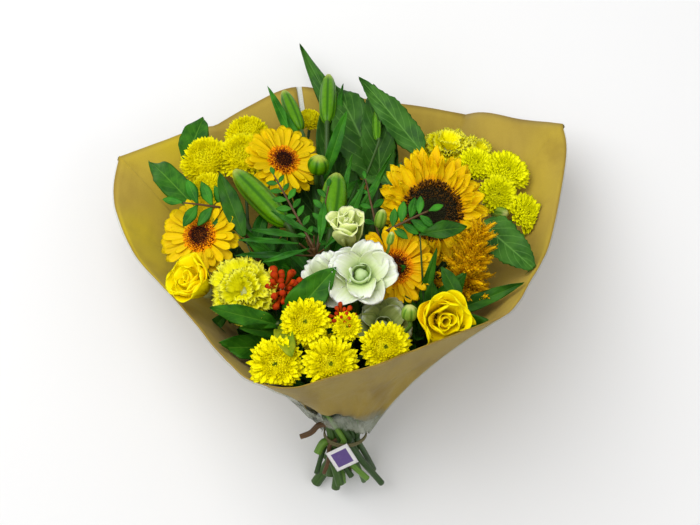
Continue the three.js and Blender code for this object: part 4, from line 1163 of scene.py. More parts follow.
STEMS = {
    "thick": StemFinish("thick_stem", rgb(64, 98, 30), rgb(36, 64, 16)),
    "pale": StemFinish("pale_stem", rgb(104, 144, 44), rgb(70, 112, 28)),
    "grey": StemFinish("grey_green_stem", rgb(92, 120, 68), rgb(60, 92, 42)),
    "deep": StemFinish("deep_stem", rgb(50, 82, 24), rgb(28, 52, 12)),
    "woody": StemFinish("woody_stem", rgb(96, 66, 30), rgb(60, 42, 16), cut=rgb(160, 134, 84)),
}
PAPER = PaperFinish("kraft_paper", rgb(178, 152, 56), rgb(166, 136, 46), rgb(206, 182, 0), rgb(122, 92, 22))
FILM = FilmFinish("clear_film")


# ---------------------------------------------------------------- the arrangement
class Kind(Enum):
    """The kinds of bloom, each with what its heads' names begin with."""

    GERBERA = ("gerbera",)
    SUNFLOWER = ("sunflower",)
    POMPON = ("pompon",)
    SPRAY = ("santini", "chrysanthemum")
    ROSE = ("rose",)
    CARNATION = ("carnation",)
    LISIANTHUS = ("lisianthus",)
    PLUME = ("plume",)
    CLUB = ("club",)


@dataclass(frozen=True)
class Stalk:
    """A stem's thickness and the points it passes, from its foot."""

    radius: float
    points: tuple[Point, ...]


@dataclass(frozen=True)
class Head:
    """A bloom: its size, where it joins its stem, and where it faces."""

    name: str
    size: float
    joint: Point
    out: Point
    fork: int = 0  # the point of the main stem that its own branch leaves; 0 is on the main stem
    straight: float = 24.0  # how far its stem runs straight under it
    form: float = 1.0  # how open a lisianthus is, a plume's length, a cluster's count, a rose's turn

    @property
    def kind(self) -> Kind:
        """Tells the kind by the name."""
        return next(kind for kind in Kind if self.name.startswith(kind.value))

    def place(self, spin: float = 0.0) -> Matrix:
        """Gives the matrix from the bloom's own space, where it stands on 0 and faces +Z."""
        z = unit(self.out)
        x = unit(np.cross((0, 1, 0), z))
        y = np.cross(z, x)
        rows = [[x[i], y[i], z[i], self.joint[i]] for i in range(3)]
        return Matrix((*rows, (0, 0, 0, 1))) @ Matrix.Rotation(spin, 4, "Z")


@dataclass(frozen=True)
class Bud:
    """A closed bud from its foot to its tip."""

    foot: Point
    tip: Point
    radius: float
    fork: int  # as of a head; 0 is on a branch that its plant lists


@dataclass(frozen=True)
class Leaf:
    """A leaf that leaves its main stem at a share of its length."""

    start: float
    tip: Point
    width: float  # from its middle to its edge
    bend: float = 6.0  # how far it arches up
    joint: Point | None = None  # where the blade begins, on a stalk of its own
    youth_and_shade: float = 0.0  # 1 is young and yellow, -1 is darkened as painted shade for a leaf deep among the others
    toothed: bool = False


@dataclass(frozen=True)
class Toothed(Leaf):
    """A leaf with a toothed edge."""

    toothed: bool = True


@dataclass(frozen=True)
class Frond:
    """A feather leaf at a share of its main stem, or at its top."""

    tip: Point
    pairs: int
    leaflet: float
    start: float = 1.0


@dataclass(frozen=True)
class Plant:
    """One stem of the bunch, with all that grows on it."""

    name: str
    radius: float
    route: tuple[Point, ...]  # up to the tie, then above it; a head on the main stem ends it
    branches: tuple[Stalk, ...] = ()
    heads: tuple[Head, ...] = ()
    buds: tuple[Bud, ...] = ()
    leaves: tuple[Leaf, ...] = ()
    fronds: tuple[Frond, ...] = ()

    def main(self) -> np.ndarray:
        """Gives the points of the main stem, which runs straight through the tie and under its head."""
        route = np.array(self.route, float)
        points = [*route[:3], route[2] + 10 * ALONG, *route[3:]]
        for head in self.heads:
            if not head.fork:
                points += [np.array(head.joint) - head.straight * np.array(head.out), np.array(head.joint)]
        return np.array(points)

    def stalks(self) -> list[Stalk]:
        """Gives the main stem and its branches, which run straight under their heads and buds."""
        main, ends = self.main(), []
        for head in self.heads:
            ends.append((head.fork, 1.7, head.joint, head.straight * np.array(head.out)))
        for bud in self.buds:
            lead = 10 * unit(np.subtract(bud.tip, bud.foot))
            ends.append((bud.fork, max(1.5, 0.26 * bud.radius), bud.foot, lead))
        stalks = [Stalk(self.radius, main), *self.branches]
        for fork, radius, joint, lead in ends:
            if fork:
                under = joint - lead
                stalks.append(Stalk(radius, (main[fork], (main[fork] + under) / 2, under, np.array(joint))))
        return stalks


# ---------------------------------------------------------------- the wrap's shape
RIM = (  # the wrap's upper edge, round from the back
    (-55, 387, -104), (2, 376, -104), (60, 368, -90), (110, 360, -50), (147, 352, 22), (192, 335, 54),
    (230, 321, 88), (230, 284, 110), (211, 205, 160), (199, 168, 185), (182, 138, 210), (158, 101, 240),
    (127, 84, 262), (79, 63, 286), (48, 50, 298), (25, 39, 308), (-8, 31, 306), (-48, 22, 296),
    (-87, 31, 274), (-113, 54, 252), (-139, 86, 225), (-168, 120, 198), (-210, 168, 160), (-233, 215, 125),
    (-241, 250, 102), (-239, 288, 80), (-200, 310, 54), (-159, 334, 24), (-106, 366, -76),
)
SHARP = (6, 25)  # the points of the rim that are corners


@dataclass(frozen=True)
class Cone:
    """The shape that the paper and the film share, from the tie to their wide uneven rim."""

    neck: float = 24.2
    skirt: float = 31.0
    below: float = 16.0
    steps: int = 9  # columns between two points of the rim

    def rim(self) -> np.ndarray:
        """Gives the rim in the tie's frame: across, front and height of each column."""
        given, points = np.array(RIM, float), []
        for i, corner in enumerate(given):
            sides = ((given[i - 1] - corner) * 0.1, (given[(i + 1) % len(given)] - corner) * 0.1)
            points += [corner + sides[0], corner, corner + sides[1]] if i in SHARP else [corner]
        reach = np.array(points) - NECK
        frame_points = np.stack((reach @ ACROSS, reach @ FRONT, reach @ ALONG), axis=1)
        return catmull(frame_points, self.steps, closed=True)

    def low(self, rim: np.ndarray, front: float, slope: float, back: float) -> np.ndarray:
        """Gives the height of a lower edge at each column, which is higher in front and most on the left."""
        lateral = np.hypot(rim[:, 0], rim[:, 1])
        ahead = smooth(-0.3, 0.7, rim[:, 1] / lateral)
        return back + (front - slope * np.maximum(rim[:, 0] / lateral, -0.6) - back) * ahead

    def rows(self, share: np.ndarray, rim: np.ndarray) -> np.ndarray:
        """Gives the smooth points at shares of the rim's height, one row for each row of shares."""
        lateral = np.hypot(rim[:, 0], rim[:, 1])
        above = np.maximum(share, 0)
        radius = self.neck + (lateral - self.neck) * above * (0.6 + 0.4 * above)
        radius = radius + (self.skirt - self.neck) * np.maximum(-share, 0) * rim[:, 2] / self.below
        p, q = radius * (rim[:, 0] / lateral), radius * (rim[:, 1] / lateral)
        return NECK + p[..., None] * ACROSS + q[..., None] * FRONT + (rim[:, 2] * share)[..., None] * ALONG

    def grid(self, count: int, edge: tuple[float, float, float], top: float) -> tuple[np.ndarray, ...]:
        """Gives a sheet's grid.

        Args:
            count: how many rows it has.
            edge: what tells the height of its lower edge, as for `low`.
            top: its upper edge, as a share of the rim's height.

        Returns:
            Each point's share of the rim's height, the points, the directions away from the inside, and each
            point's place between the lower edge and the upper.
        """
        rim = self.rim()
        low = self.low(rim, *edge) / rim[:, 2]
        part = np.linspace(0, 1, count)[:, None]
        share = low + (top - low) * part
        points = self.rows(share, rim)
        return share, points, self.outward(points), np.tile(part, (1, len(rim)))

    def hold(self, points: np.ndarray) -> np.ndarray:
        """Gives layout points with those that would pass through the wrap pressed against its inside."""
        rim = self.rim()
        reach = points - NECK
        p, q, height = reach @ ACROSS, reach @ FRONT, reach @ ALONG
        around = np.arctan2(rim[:, 1], rim[:, 0])
        order = np.argsort(around)
        angle, radius = np.arctan2(q, p), np.hypot(p, q)
        high = np.interp(angle, around[order], rim[order, 2], period=TURN)
        wide = np.interp(angle, around[order], np.hypot(rim[:, 0], rim[:, 1])[order], period=TURN)
        share = height / high
        limit = self.neck + (wide - self.neck) * share * (0.6 + 0.4 * share) - 5.0 - 4.0 * self.play(share)
        limit += 80 * smooth(0.99, 1.05, share) + 80 * smooth(0.14, 0.07, share)
        pressed = np.where(radius > limit, limit - 1.5 + 0.06 * (radius - limit), radius)
        scale = pressed / np.maximum(radius, 1e-6)
        return NECK + np.outer(p * scale, ACROSS) + np.outer(q * scale, FRONT) + np.outer(height, ALONG)

    def outward(self, points: np.ndarray) -> np.ndarray:
        """Gives the directions away from the inside."""
        round_it = np.roll(points, -1, axis=1) - np.roll(points, 1, axis=1)
        up = np.gradient(points, axis=0)
        normal = np.cross(round_it, up)
        normal /= np.maximum(np.linalg.norm(normal, axis=2, keepdims=True), 1e-9)
        middle = NECK + ALONG * 150
        away = np.sum(normal * (points - middle), axis=2).mean()
        return normal if away > 0 else -normal

    def play(self, share: np.ndarray) -> np.ndarray:
        """Gives how deep the folds may be, as a share: less near the rim."""
        return 1 - 0.62 * smooth(0.55, 0.95, share)

    def relief(self, share: np.ndarray) -> np.ndarray:
        """Gives the folds that the paper and the film share, in millimetres."""
        folds, play = self.folds(share, 3, 3.0, 1.8), self.play(share)
        return np.clip(folds * smooth(-0.05, 0.15, share) * play, -2.6 * play, 1.5 * play)

    def folds(self, share: np.ndarray, seed: int, pleats: float, dents: float) -> np.ndarray:
        """Gives the relief of pleats that fan out from the tie and of dents and wrinkles between them.

        Args:
            share: each point's share of the rim's height.
            seed: a number for another pattern.
            pleats: depth of the pleats in millimetres.
            dents: depth of the dents.

        Returns:
            The relief in millimetres.
        """
        relief = np.zeros_like(share)
        for (r, c), s in np.ndenumerate(share):
            angle = TURN * c / share.shape[1]
            x, y = math.cos(angle), math.sin(angle)
            fan = noise.noise(Vector((x * 5.5 + seed, y * 5.5, s * 0.9)))
            ridge = noise.noise(Vector((x * 13 + 3 * seed, y * 13, s * 1.7)))
            dent = noise.noise(Vector((x * 3.1 - seed, y * 3.1, s * 5.0 + seed)))
            crease = 1 - abs(noise.noise(Vector((x * 4.2, y * 4.2 + seed, s * 6.5)))) * 4
            pleat = fan + 0.5 * ridge * (1 - 0.6 * s)
            relief[r, c] = pleats * pleat + dents * (dent + 0.6 * max(crease, 0) ** 3)
        return relief


WRAP = Cone()
PLANTS: tuple[Plant, ...] = (
    Plant(
        "sunflower", 5.5, ((-37.2, -48.9, 6.4), (-12.7, -20.7, 31.8), (-0.7, 6.1, 58.8), (23.7, 66.7, 90.1),
        (53.5, 138.5, 115.3)),
        heads=(Head("sunflower", 57, (85.3, 209, 167), (0.05, 0, 0.999)),),
        leaves=(Toothed(0.72, (188, 144, 198), 21, 14, joint=(132, 194, 196)),),
    ),
    Plant(
        "gerbera_top", 3, ((-2.5, -50.6, 44.8), (-5.3, -25.4, 57.8), (-7.6, -5.5, 70.4), (-22.3, 74.9, 87.2),
        (-49.1, 169.2, 89)),
        branches=(Stalk(4.5, ((-5.3, -20, 61), (-20, -10, 76), (-31, -22, 74))),),
        heads=(Head("gerbera_top", 41, (-65.5, 271.1, 119.8), (0.272, 0.318, 0.908)),),
    ),
    Plant(
        "gerbera_left", 3, ((18.2, -46.6, 50.7), (3.8, -29.8, 65.7), (-2.9, -12.9, 77.9),
        (-37.3, 43.6, 113.3), (-85.9, 113.6, 129.5)),
        heads=(Head("gerbera_left", 42, (-139.4, 183.1, 177.4), (-0.286, 0.095, 0.953)),),
    ),
    Plant(
        "gerbera_centre", 3, ((-5.3, -45.7, 3.4), (-0.4, -21.7, 36.4), (4.7, -0.9, 65.8), (13.9, 46.4, 103.7),
        (27, 98, 143)),
        heads=(Head("gerbera_centre", 41, (46.4, 148.4, 205.4), (0.287, -0.048, 0.957)),),
    ),
    Plant(
        "pompon", 3, ((5.3, -44.7, 55.9), (-4.8, -25.6, 65.2), (-7.8, -10, 75), (-31.6, 54.1, 106.1),
        (-67.9, 136.1, 81.4), (-101.7, 214.3, 81.1), (-112, 236, 82)),
        heads=(
            Head("pompon_a", 25, (-144.8, 281.7, 73.8), (-0.188, 0.282, 0.941), 5, 10),
            Head("pompon_b", 24, (-107, 285.8, 78.3), (0, 0.287, 0.958), 6, 10),
            Head("pompon_c", 22, (-105, 316.8, 42), (0, 0.514, 0.857), 5, 10),
            Head("pompon_d", 16, (-140.7, 247.4, 101.9), (-0.365, 0.183, 0.913), 6, 10),
            Head("pompon_e", 14, (-40, 339.1, 23.2), (0, 0.625, 0.781), 5, 10),
        ),
        leaves=(
            Leaf(0.8, (-204, 280, 98), 14, 14, joint=(-152, 222, 146)),
            Leaf(0.86, (-152, 336, 62), 15, 6, joint=(-168, 284, 84)),
        ),
    ),
    Plant(
        "santini", 3, ((24.5, -34.4, 3.4), (19.1, -21, 40.3), (12.3, -7.1, 72.1), (5, 13.4, 112.9),
        (-8.7, 28.3, 156.2), (-20.4, 44.2, 199.6), (-24, 52, 222)),
        heads=(
            Head("santini_a", 24.5, (-36, 86.4, 264.7), (0, -0.05, 0.999), 5, 11),
            Head("santini_b", 27, (-60.8, 47.8, 268), (-0.148, -0.098, 0.984), 6, 11),
            Head("santini_c", 27, (-12, 46.8, 277.9), (0, -0.1, 0.995), 5, 11),
            Head("santini_d", 25, (35.9, 63.7, 266.6), (0.148, -0.098, 0.984), 6, 11),
            Head("santini_e", 15, (1.6, 82, 265.5), (0.1, 0, 0.995), 5, 11),
            Head("santini_f", 17, (-22, 66, 246.9), (0, 0, 1), 6, 11),
        ),
    ),
    Plant(
        "chrysanthemum", 2.6, ((-35.7, -40.3, 34.5), (-22.7, -14.5, 47.6), (-9.1, 6.8, 58.1),
        (21.4, 71.6, 67.7), (77, 134.1, 85.8), (125.4, 201.7, 97.4), (138, 222, 100)),
        heads=(
            Head("chrysanthemum_a", 20, (134.9, 269.6, 106.6), (0.179, 0.404, 0.897), 5, 11),
            Head("chrysanthemum_b", 24, (163.5, 261.5, 108.7), (0.348, 0.348, 0.87), 6, 11),
            Head("chrysanthemum_c", 21, (153.2, 236, 126), (0.287, 0, 0.958), 5, 11),
            Head("chrysanthemum_d", 21, (178.4, 213, 137.9), (0.566, 0.162, 0.808), 6, 11),
        ),
        buds=(Bud((150, 220, 128), (164, 214, 143), 7, 5),),
    ),
    Plant(
        "carnation_left", 2.5, ((15.6, -48.2, 25.4), (8.4, -26.2, 50.7), (2.2, -7.8, 72.7),
        (-16.6, 36.2, 114.4), (-59.3, 77.7, 152.6)),
        heads=(Head("carnation_left", 31, (-95.1, 123.1, 217.4), (-0.05, 0.05, 0.998)),),
    ),
    Plant(
        "carnation_right", 2.5, ((-24.6, -42.4, 36.6), (-13.2, -16.7, 47.4), (-7.8, 3, 61.9),
        (9.2, 73.2, 82.4), (54.3, 149.3, 73.2), (89.2, 227.7, 75.6), (98, 250, 76)),
        heads=(
            Head("carnation_right_a", 24, (108.8, 295.6, 75.7), (0.085, 0.513, 0.854), 5, 22.8),
            Head("carnation_right_b", 18, (136.7, 292.9, 73.5), (0.394, 0.473, 0.788), 6, 18.6),
        ),
    ),
    Plant(
        "rose_left", 3.2, ((30.3, -50.3, 27.5), (16, -30.9, 54.7), (3.6, -12.1, 77), (-24.4, 30.7, 116.8),
        (-77.5, 74.8, 142.8)),
        heads=(Head("rose_left", 23, (-134.9, 126.5, 195.5), (-0.493, 0.287, 0.821), form=-0.7),),
    ),
    Plant(
        "rose_right", 3.2, ((-7.1, -26.3, 3.6), (2.1, -13, 36.1), (10, 1.9, 63), (31.4, 36.8, 107.6),
        (57.9, 68.4, 159.3)),
        heads=(Head("rose_right", 26, (88.3, 96.1, 232.5), (0.144, -0.24, 0.96), form=2),),
        leaves=(
            Leaf(0.66, (88, 165, 224), 6, 8), Leaf(0.74, (116, 142, 222), 12, 4),
            Leaf(0.84, (172, 132, 219), 8, -4),
            Leaf(0.8, (117, 184, 229), 9, 5, joint=(72, 178, 224), youth_and_shade=-0.5),
            Leaf(0.86, (92, 146, 228), 8, 3, joint=(112, 108, 228), youth_and_shade=-0.4),
            Leaf(0.8, (142, 88, 244), 12, 4),
        ),
    ),
    Plant(
        "lisianthus", 3, ((8.2, -31.1, 3.4), (10.4, -17.5, 38), (11, -2.7, 67.6), (10.9, 28.8, 104.7),
        (9.5, 66.2, 137.7), (8.6, 101.1, 173.1), (10, 118, 190)),
        heads=(
            Head("lisianthus_centre", 33, (14.9, 134.7, 226), (0.05, 0.099, 0.994), 5, 13),
            Head("lisianthus_half", 20, (2, 170.3, 203.8), (0, 0.6, 0.8), 6, 13, 0.12),
            Head("lisianthus_left", 27, (-11.6, 131.3, 215.2), (-0.445, 0.089, 0.891), 5, 13),
            Head("lisianthus_low", 27, (35.2, 88.3, 211.6), (0.098, 0.195, 0.976), 6, 13),
        ),
        buds=(
            Bud((33, 188, 200), (37, 206, 206), 6.5, 5), Bud((42, 166, 232), (45, 177, 240), 4, 6),
            Bud((60, 92, 246), (61, 104, 256), 8.5, 5),
        ),
    ),
    Plant(
        "club_buds", 2.4, ((12.2, -38.3, 17), (8.6, -20.7, 45.7), (6.6, -5.3, 70.3), (-2.2, 25.1, 111.6),
        (-19.8, 58.3, 151.5), (-34.6, 90.1, 193.2), (-40, 104, 212)),
        heads=(
            Head("club_buds_left", 24, (-58.9, 124.3, 221.3), (0.098, 0.195, 0.976), 5, 10, 8),
            Head("club_buds_front", 15, (-3, 92, 266), (0, 0, 1), 6, 10, 5),
        ),
    ),
    Plant(
        "plume", 3.4, ((-22.2, -22.2, 3.8), (-1.6, -6.3, 30.4), (8.6, 6.8, 58.2), (36.8, 39.6, 93.3),
        (73.1, 72.5, 129.6)),
        heads=(Head("plume", 29, (113.9, 123.6, 181), (0.189, 0.754, 0.629), form=86),),
    ),
    Plant(
        "lily_back", 4.4, ((-5.9, -53.5, 59), (-13.8, -28.8, 65.9), (-14.8, -7.6, 72.5), (-30.3, 65.9, 95.7),
        (-20, 156.1, 93.9), (-23.7, 244.2, 97.5), (-26, 268, 100)),
        branches=(
            Stalk(2.6, ((-20, 156.1, 93.9), (-19.8, 234.7, 94), (-19.1, 313.3, 96.9), (-19, 322, 92))),
            Stalk(1.5, ((-20, 156.1, 93.9), (6.3, 222.2, 104.7), (33, 288.4, 126.4), (33, 296, 124))),
        ),
        buds=(
            Bud((-19, 322, 92), (-18, 386, 56), 10, 0), Bud((-47, 318, 80), (-67, 369, 52), 9, 6),
            Bud((33, 296, 124), (33, 336, 96), 5, 0), Bud((-28, 258, 138), (-26, 272, 152), 12, 6),
        ),
        leaves=(
            Leaf(0.9, (-84, 372, 62), 7, 8), Leaf(0.94, (2, 330, 118), 7, 10),
            Leaf(0.88, (-62, 330, 108), 7, 8), Leaf(0.92, (-2, 372, 70), 6, 6),
        ),
    ),
    Plant(
        "lily_front", 4.4, ((-12, -55.2, 22.5), (-7.1, -26, 45.5), (-3.1, -1, 65.9), (-0.5, 42.5, 96.5),
        (-17.8, 85.7, 130.3), (-26.1, 130.5, 162.5), (-30, 150, 176)),
        buds=(Bud((-58, 195, 184), (-113, 261, 136), 13.5, 5), Bud((-14, 189, 194), (-8, 250, 170), 14.5, 6)),
        leaves=(
            Leaf(0.8, (-96, 176, 206), 7, 8), Leaf(0.9, (20, 236, 196), 7, 10),
            Leaf(0.8, (-106, 196, 198), 4, 8, youth_and_shade=-0.3), Leaf(0.84, (-62, 148, 216), 4, 8, youth_and_shade=-0.3),
            Leaf(0.86, (48, 272, 172), 5, 12, youth_and_shade=-0.2), Leaf(0.88, (8, 270, 174), 5, 12, youth_and_shade=-0.3),
        ),
    ),
    Plant(
        "sunflower_leaves", 4.6, ((-17.9, -44.6, 50.1), (-15.2, -18.7, 54.7), (-12.6, -1.1, 66),
        (-9.9, 75.3, 72.1), (17.7, 161.1, 86.4), (34.7, 248.3, 93.9), (38, 272, 96)),
        leaves=(
            Leaf(0.94, (-50, 426, 34), 13, -18), Toothed(0.96, (-14, 378, 58), 30, 20),
            Toothed(0.98, (46, 236, 164), 24, 26), Toothed(0.96, (30, 371, 76), 20, 34),
            Toothed(0.94, (14, 370, 98), 16.5, 16, joint=(80, 286, 110)),
            Leaf(0.6, (-26, 340, 66), 23, 8, youth_and_shade=-0.5), Leaf(0.5, (-60, 288, 92), 20, 8, youth_and_shade=-0.6),
            Leaf(0.5, (-34, 262, 110), 16, 8, youth_and_shade=-0.4), Leaf(0.62, (52, 310, 88), 17, 8, youth_and_shade=-0.6),
            Leaf(0.4, (12, 252, 126), 15, 6, youth_and_shade=-0.5),
        ),
    ),
    Plant(
        "ruscus", 2.2, ((21.4, -36, 27.4), (13, -22.1, 52.8), (7.2, -8.9, 73.8), (-8.2, 22.9, 116),
        (-33.2, 50.8, 161.3), (-55.9, 80.4, 206.6), (-64, 92, 226)),
        leaves=(
            Leaf(0.94, (-8, 141, 252), 17, 8), Leaf(0.98, (-126, 102, 256), 10, 8),
            Leaf(0.98, (-47, 52, 296), 9.4, 26, youth_and_shade=1), Leaf(0.8, (-128, 66, 236), 13, 4),
            Leaf(0.7, (-100, 150, 206), 9, 6), Leaf(0.9, (-98, 84, 250), 7, 4, youth_and_shade=-0.3),
            Leaf(0.86, (-124, 246, 186), 10, 8, joint=(-98, 180, 198), youth_and_shade=-0.3),
        ),
    ),
    Plant(
        "pistacia_left", 2.1, ((7.3, -34.6, 52.8), (1.5, -20.4, 65.2), (-2.5, -9.1, 74), (-26, 52.6, 108.9),
        (-64.2, 121.4, 140.4), (-99, 190.7, 173.7), (-109, 210, 184)),
        branches=(
            Stalk(3.1, ((-6, 6, 85), (-25, 6, 93), (-35, -2, 90), (-46, -6, 88))),
            Stalk(2.2, ((-2.5, -4, 78), (-16, -14, 80), (-19, -28, 74), (-26, -42, 66))),
        ),
        fronds=(Frond((-158, 214, 199), 3, 24),),
    ),
    Plant(
        "pistacia_middle", 2.1, ((3.6, -42.3, 39.4), (0.7, -22.3, 56.8), (-2.1, -5.8, 70.7),
        (-9.8, 44.9, 106.3), (-17.8, 96.1, 150.4), (-26.7, 149.4, 191.2), (-30, 168, 206)),
        leaves=(
            Leaf(0.96, (-104, 176, 206), 3, 6, joint=(-44, 172, 208), youth_and_shade=-0.5),
            Leaf(0.96, (-106, 160, 208), 3.5, 5, joint=(-48, 160, 210), youth_and_shade=-0.6),
            Leaf(0.96, (-80, 152, 213), 3, 3, joint=(-34, 166, 212), youth_and_shade=-0.3),
            Leaf(0.96, (-92, 186, 204), 3.5, 7, joint=(-38, 178, 208), youth_and_shade=-0.6),
            Leaf(0.96, (-72, 206, 198), 3, 8, joint=(-30, 180, 206), youth_and_shade=-0.4),
            Leaf(0.96, (-20, 216, 198), 4.5, 6, joint=(-24, 172, 208), youth_and_shade=-0.2),
            Leaf(0.96, (10, 200, 204), 4, 4, joint=(-20, 166, 210)),
        ),
        fronds=(Frond((-70, 244, 188), 7, 13), Frond((-16, 232, 190), 5, 13, 0.95)),
    ),
    Plant(
        "pistacia_right", 2.1, ((3.9, -38.4, 29.8), (2.8, -19.6, 51.3), (2, -4.3, 69.2), (9, 49.8, 109.8),
        (23.7, 105.7, 157.5), (35.9, 163.5, 203.2), (40, 182, 218)),
        fronds=(Frond((80, 200, 227), 4, 21), Frond((20, 240, 190), 4, 13, 0.9)),
    ),
)


# ---------------------------------------------------------------- blooms
FOUR = tuple[float, float, float, float]
PAIR = tuple[float, float]
Part = Whorl | Fluff


def laid(patch: Patch) -> Patch:
    """Turns a body that stands on +Z so that it lies along +X, as a petal does."""
    x, y, z = patch.points.T
    return Patch(np.stack((z, y, -x), axis=1), patch.faces, patch.blade)


def bead(length: float, width: float, sides: int = 5) -> Patch:
    """Gives a tiny floret that is widest near its tip."""
    half = width / 2
    return laid(turned([(0, 0), (0.55 * half, 0.08 * length), (half, 0.72 * length), (0, length)], sides))


def sized(r: float, shares: Iterable[PAIR]) -> list[PAIR]:
    """Gives a profile from shares of a radius."""
    return [(x * r, y * r) for x, y in shares]


def ring(
    petal: Petal,
    count: int,
    foot: float,
    height: float,
    tilt: float,
    turn: float = 0.0,
    spread: FOUR = (0.08, 4.0, 0.05, 0.16),
    ruffle: PAIR = (0.0, 0.1),
    kind: float = 0.0,
) -> Whorl:
    """Sets petals evenly round the axis, all with the same foot, height and tilt."""
    pairs = ((foot, foot), (height, height), (tilt, tilt))
    return Whorl(petal, count, *pairs, even=True, turn=turn, spread=spread, ruffle=ruffle, kind=kind)


def longest(table: dict[str, object], name: str) -> object:
    """Gives the entry whose key is the longest start of the name."""
    return table[max((key for key in table if name.startswith(key)), key=len)]


@dataclass(frozen=True)
class Bloom:
    """A bloom of its head's size, which stands on 0 and faces +Z until it is placed."""

    head: Head
    finish: Finish
    seed: int

    @property
    def size(self) -> float:
        """Gives the head's radius, a little larger where its petals reach past the plain solid."""
        return self.head.size * longest(FULLER, self.head.name)

    def parts(self, r: float) -> list[Part]:
        """Lists what a bloom of this radius is made of."""
        raise NotImplementedError

    def extras(self, r: float, sheaf: Sheaf, place: Matrix) -> None:
        """Adds what isn't a whorl to a bloom of this radius."""

    def gather(self, parts: Iterable[Part], finish: Finish) -> Sheaf:
        """Grows parts where the bloom stands."""
        sheaf = Sheaf()
        for step, part in enumerate(parts):
            sheaf.add(replace(part, seed=self.seed * 100 + step).grow(finish), self.head.place(self.seed * 0.7))
        return sheaf

    def build(self) -> None:
        """Makes its pieces."""
        sheaf = self.gather(self.parts(self.size), self.finish)
        self.extras(self.size, sheaf, self.head.place(self.seed * 0.7))
        sheaf.move(WRAP.hold)
        sheaf.piece(self.head.name + "_bloom", self.finish, self.slot, self.node)

    @property
    def slot(self) -> str:
        """Gives a slot name for its petals."""
        named = {Kind.PLUME: "plume_florets", Kind.CLUB: "club_buds"}
        return named.get(self.head.kind, self.head.name.split("_")[0] + "_petals")

    @property
    def node(self) -> str:
        """Gives the name of the solid that its petals stand for."""
        return self.head.name + ("_petals" if self.head.kind in (Kind.GERBERA, Kind.SUNFLOWER) else "")


@dataclass(frozen=True)
class Gerbera(Bloom):
    """A gerbera: two layers of broad blunt petals, a ring of tiny florets and a dark eye."""

    petals: int = 23

    def parts(self, r: float) -> list[Part]:
        """Lists its petals."""
        broad = Petal(
            0.78 * r, 0.25 * r, Outline.STRAP, curl=-0.1, curl_from=1.6, wrap=0.55, groove=0.012 * r,
            thickness=0.6, rows=10, cols=7,
        )
        slim = replace(broad, length=0.7 * r, width=0.22 * r, curl=0.1)
        short = replace(slim, length=0.5 * r, width=0.16 * r)
        spread, ruffle = (0.09, 4.0, 0.05, 0.2), (0.8, 0.045)
        return [
            ring(broad, self.petals, 0.22 * r, 5.0, 84, 0.0, spread, ruffle),
            ring(slim, self.petals, 0.24 * r, 7.4, 79, TURN / self.petals / 2, spread, ruffle),
            ring(short, 13, 0.26 * r, 8.6, 76, 0.1, (0.3, 5, 0.12, 0.3), ruffle),
        ]

    def eye(self, r: float) -> list[Part]:
        """Lists the florets of its eye."""
        floret, slim = bead(0.075 * r, 0.036 * r), bead(0.075 * r, 0.032 * r)
        a, b, ways = 0.19 * r, 0.26 * r, {"spread": (0.1, 12.0, 0.2, 0.4)}
        return [
            Whorl(floret, 200, (0.0, a), (10.6, 10.2), (6, 26), (0.6, 0.8), 0.5, **ways),
            Whorl(floret, 120, (a, b), (10.2, 9.6), (12, 30), (0.8, 1.0), kind=0.5, **ways),
            Whorl(slim, 260, (0.25 * r, 0.38 * r), (9.8, 8.8), (14, 48), (0.8, 1.05), kind=1.0, **ways),
        ]

    def build(self) -> None:
        """Makes its petals and its eye."""
        super().build()
        r = self.size
        eye = self.gather(self.eye(r), EYES["gerbera"])
        dome = [(0, 3), (0.26 * r, 4), (0.36 * r, 8.4), (0.27 * r, 9.8), (0.14 * r, 11), (0, 11.2)]
        eye.add(turned(dome, 32), self.head.place(), (0.5, 0.5, 0.4))
        eye.piece(self.head.name + "_disc", EYES["gerbera"], "gerbera_eye", self.head.name + "_eye")


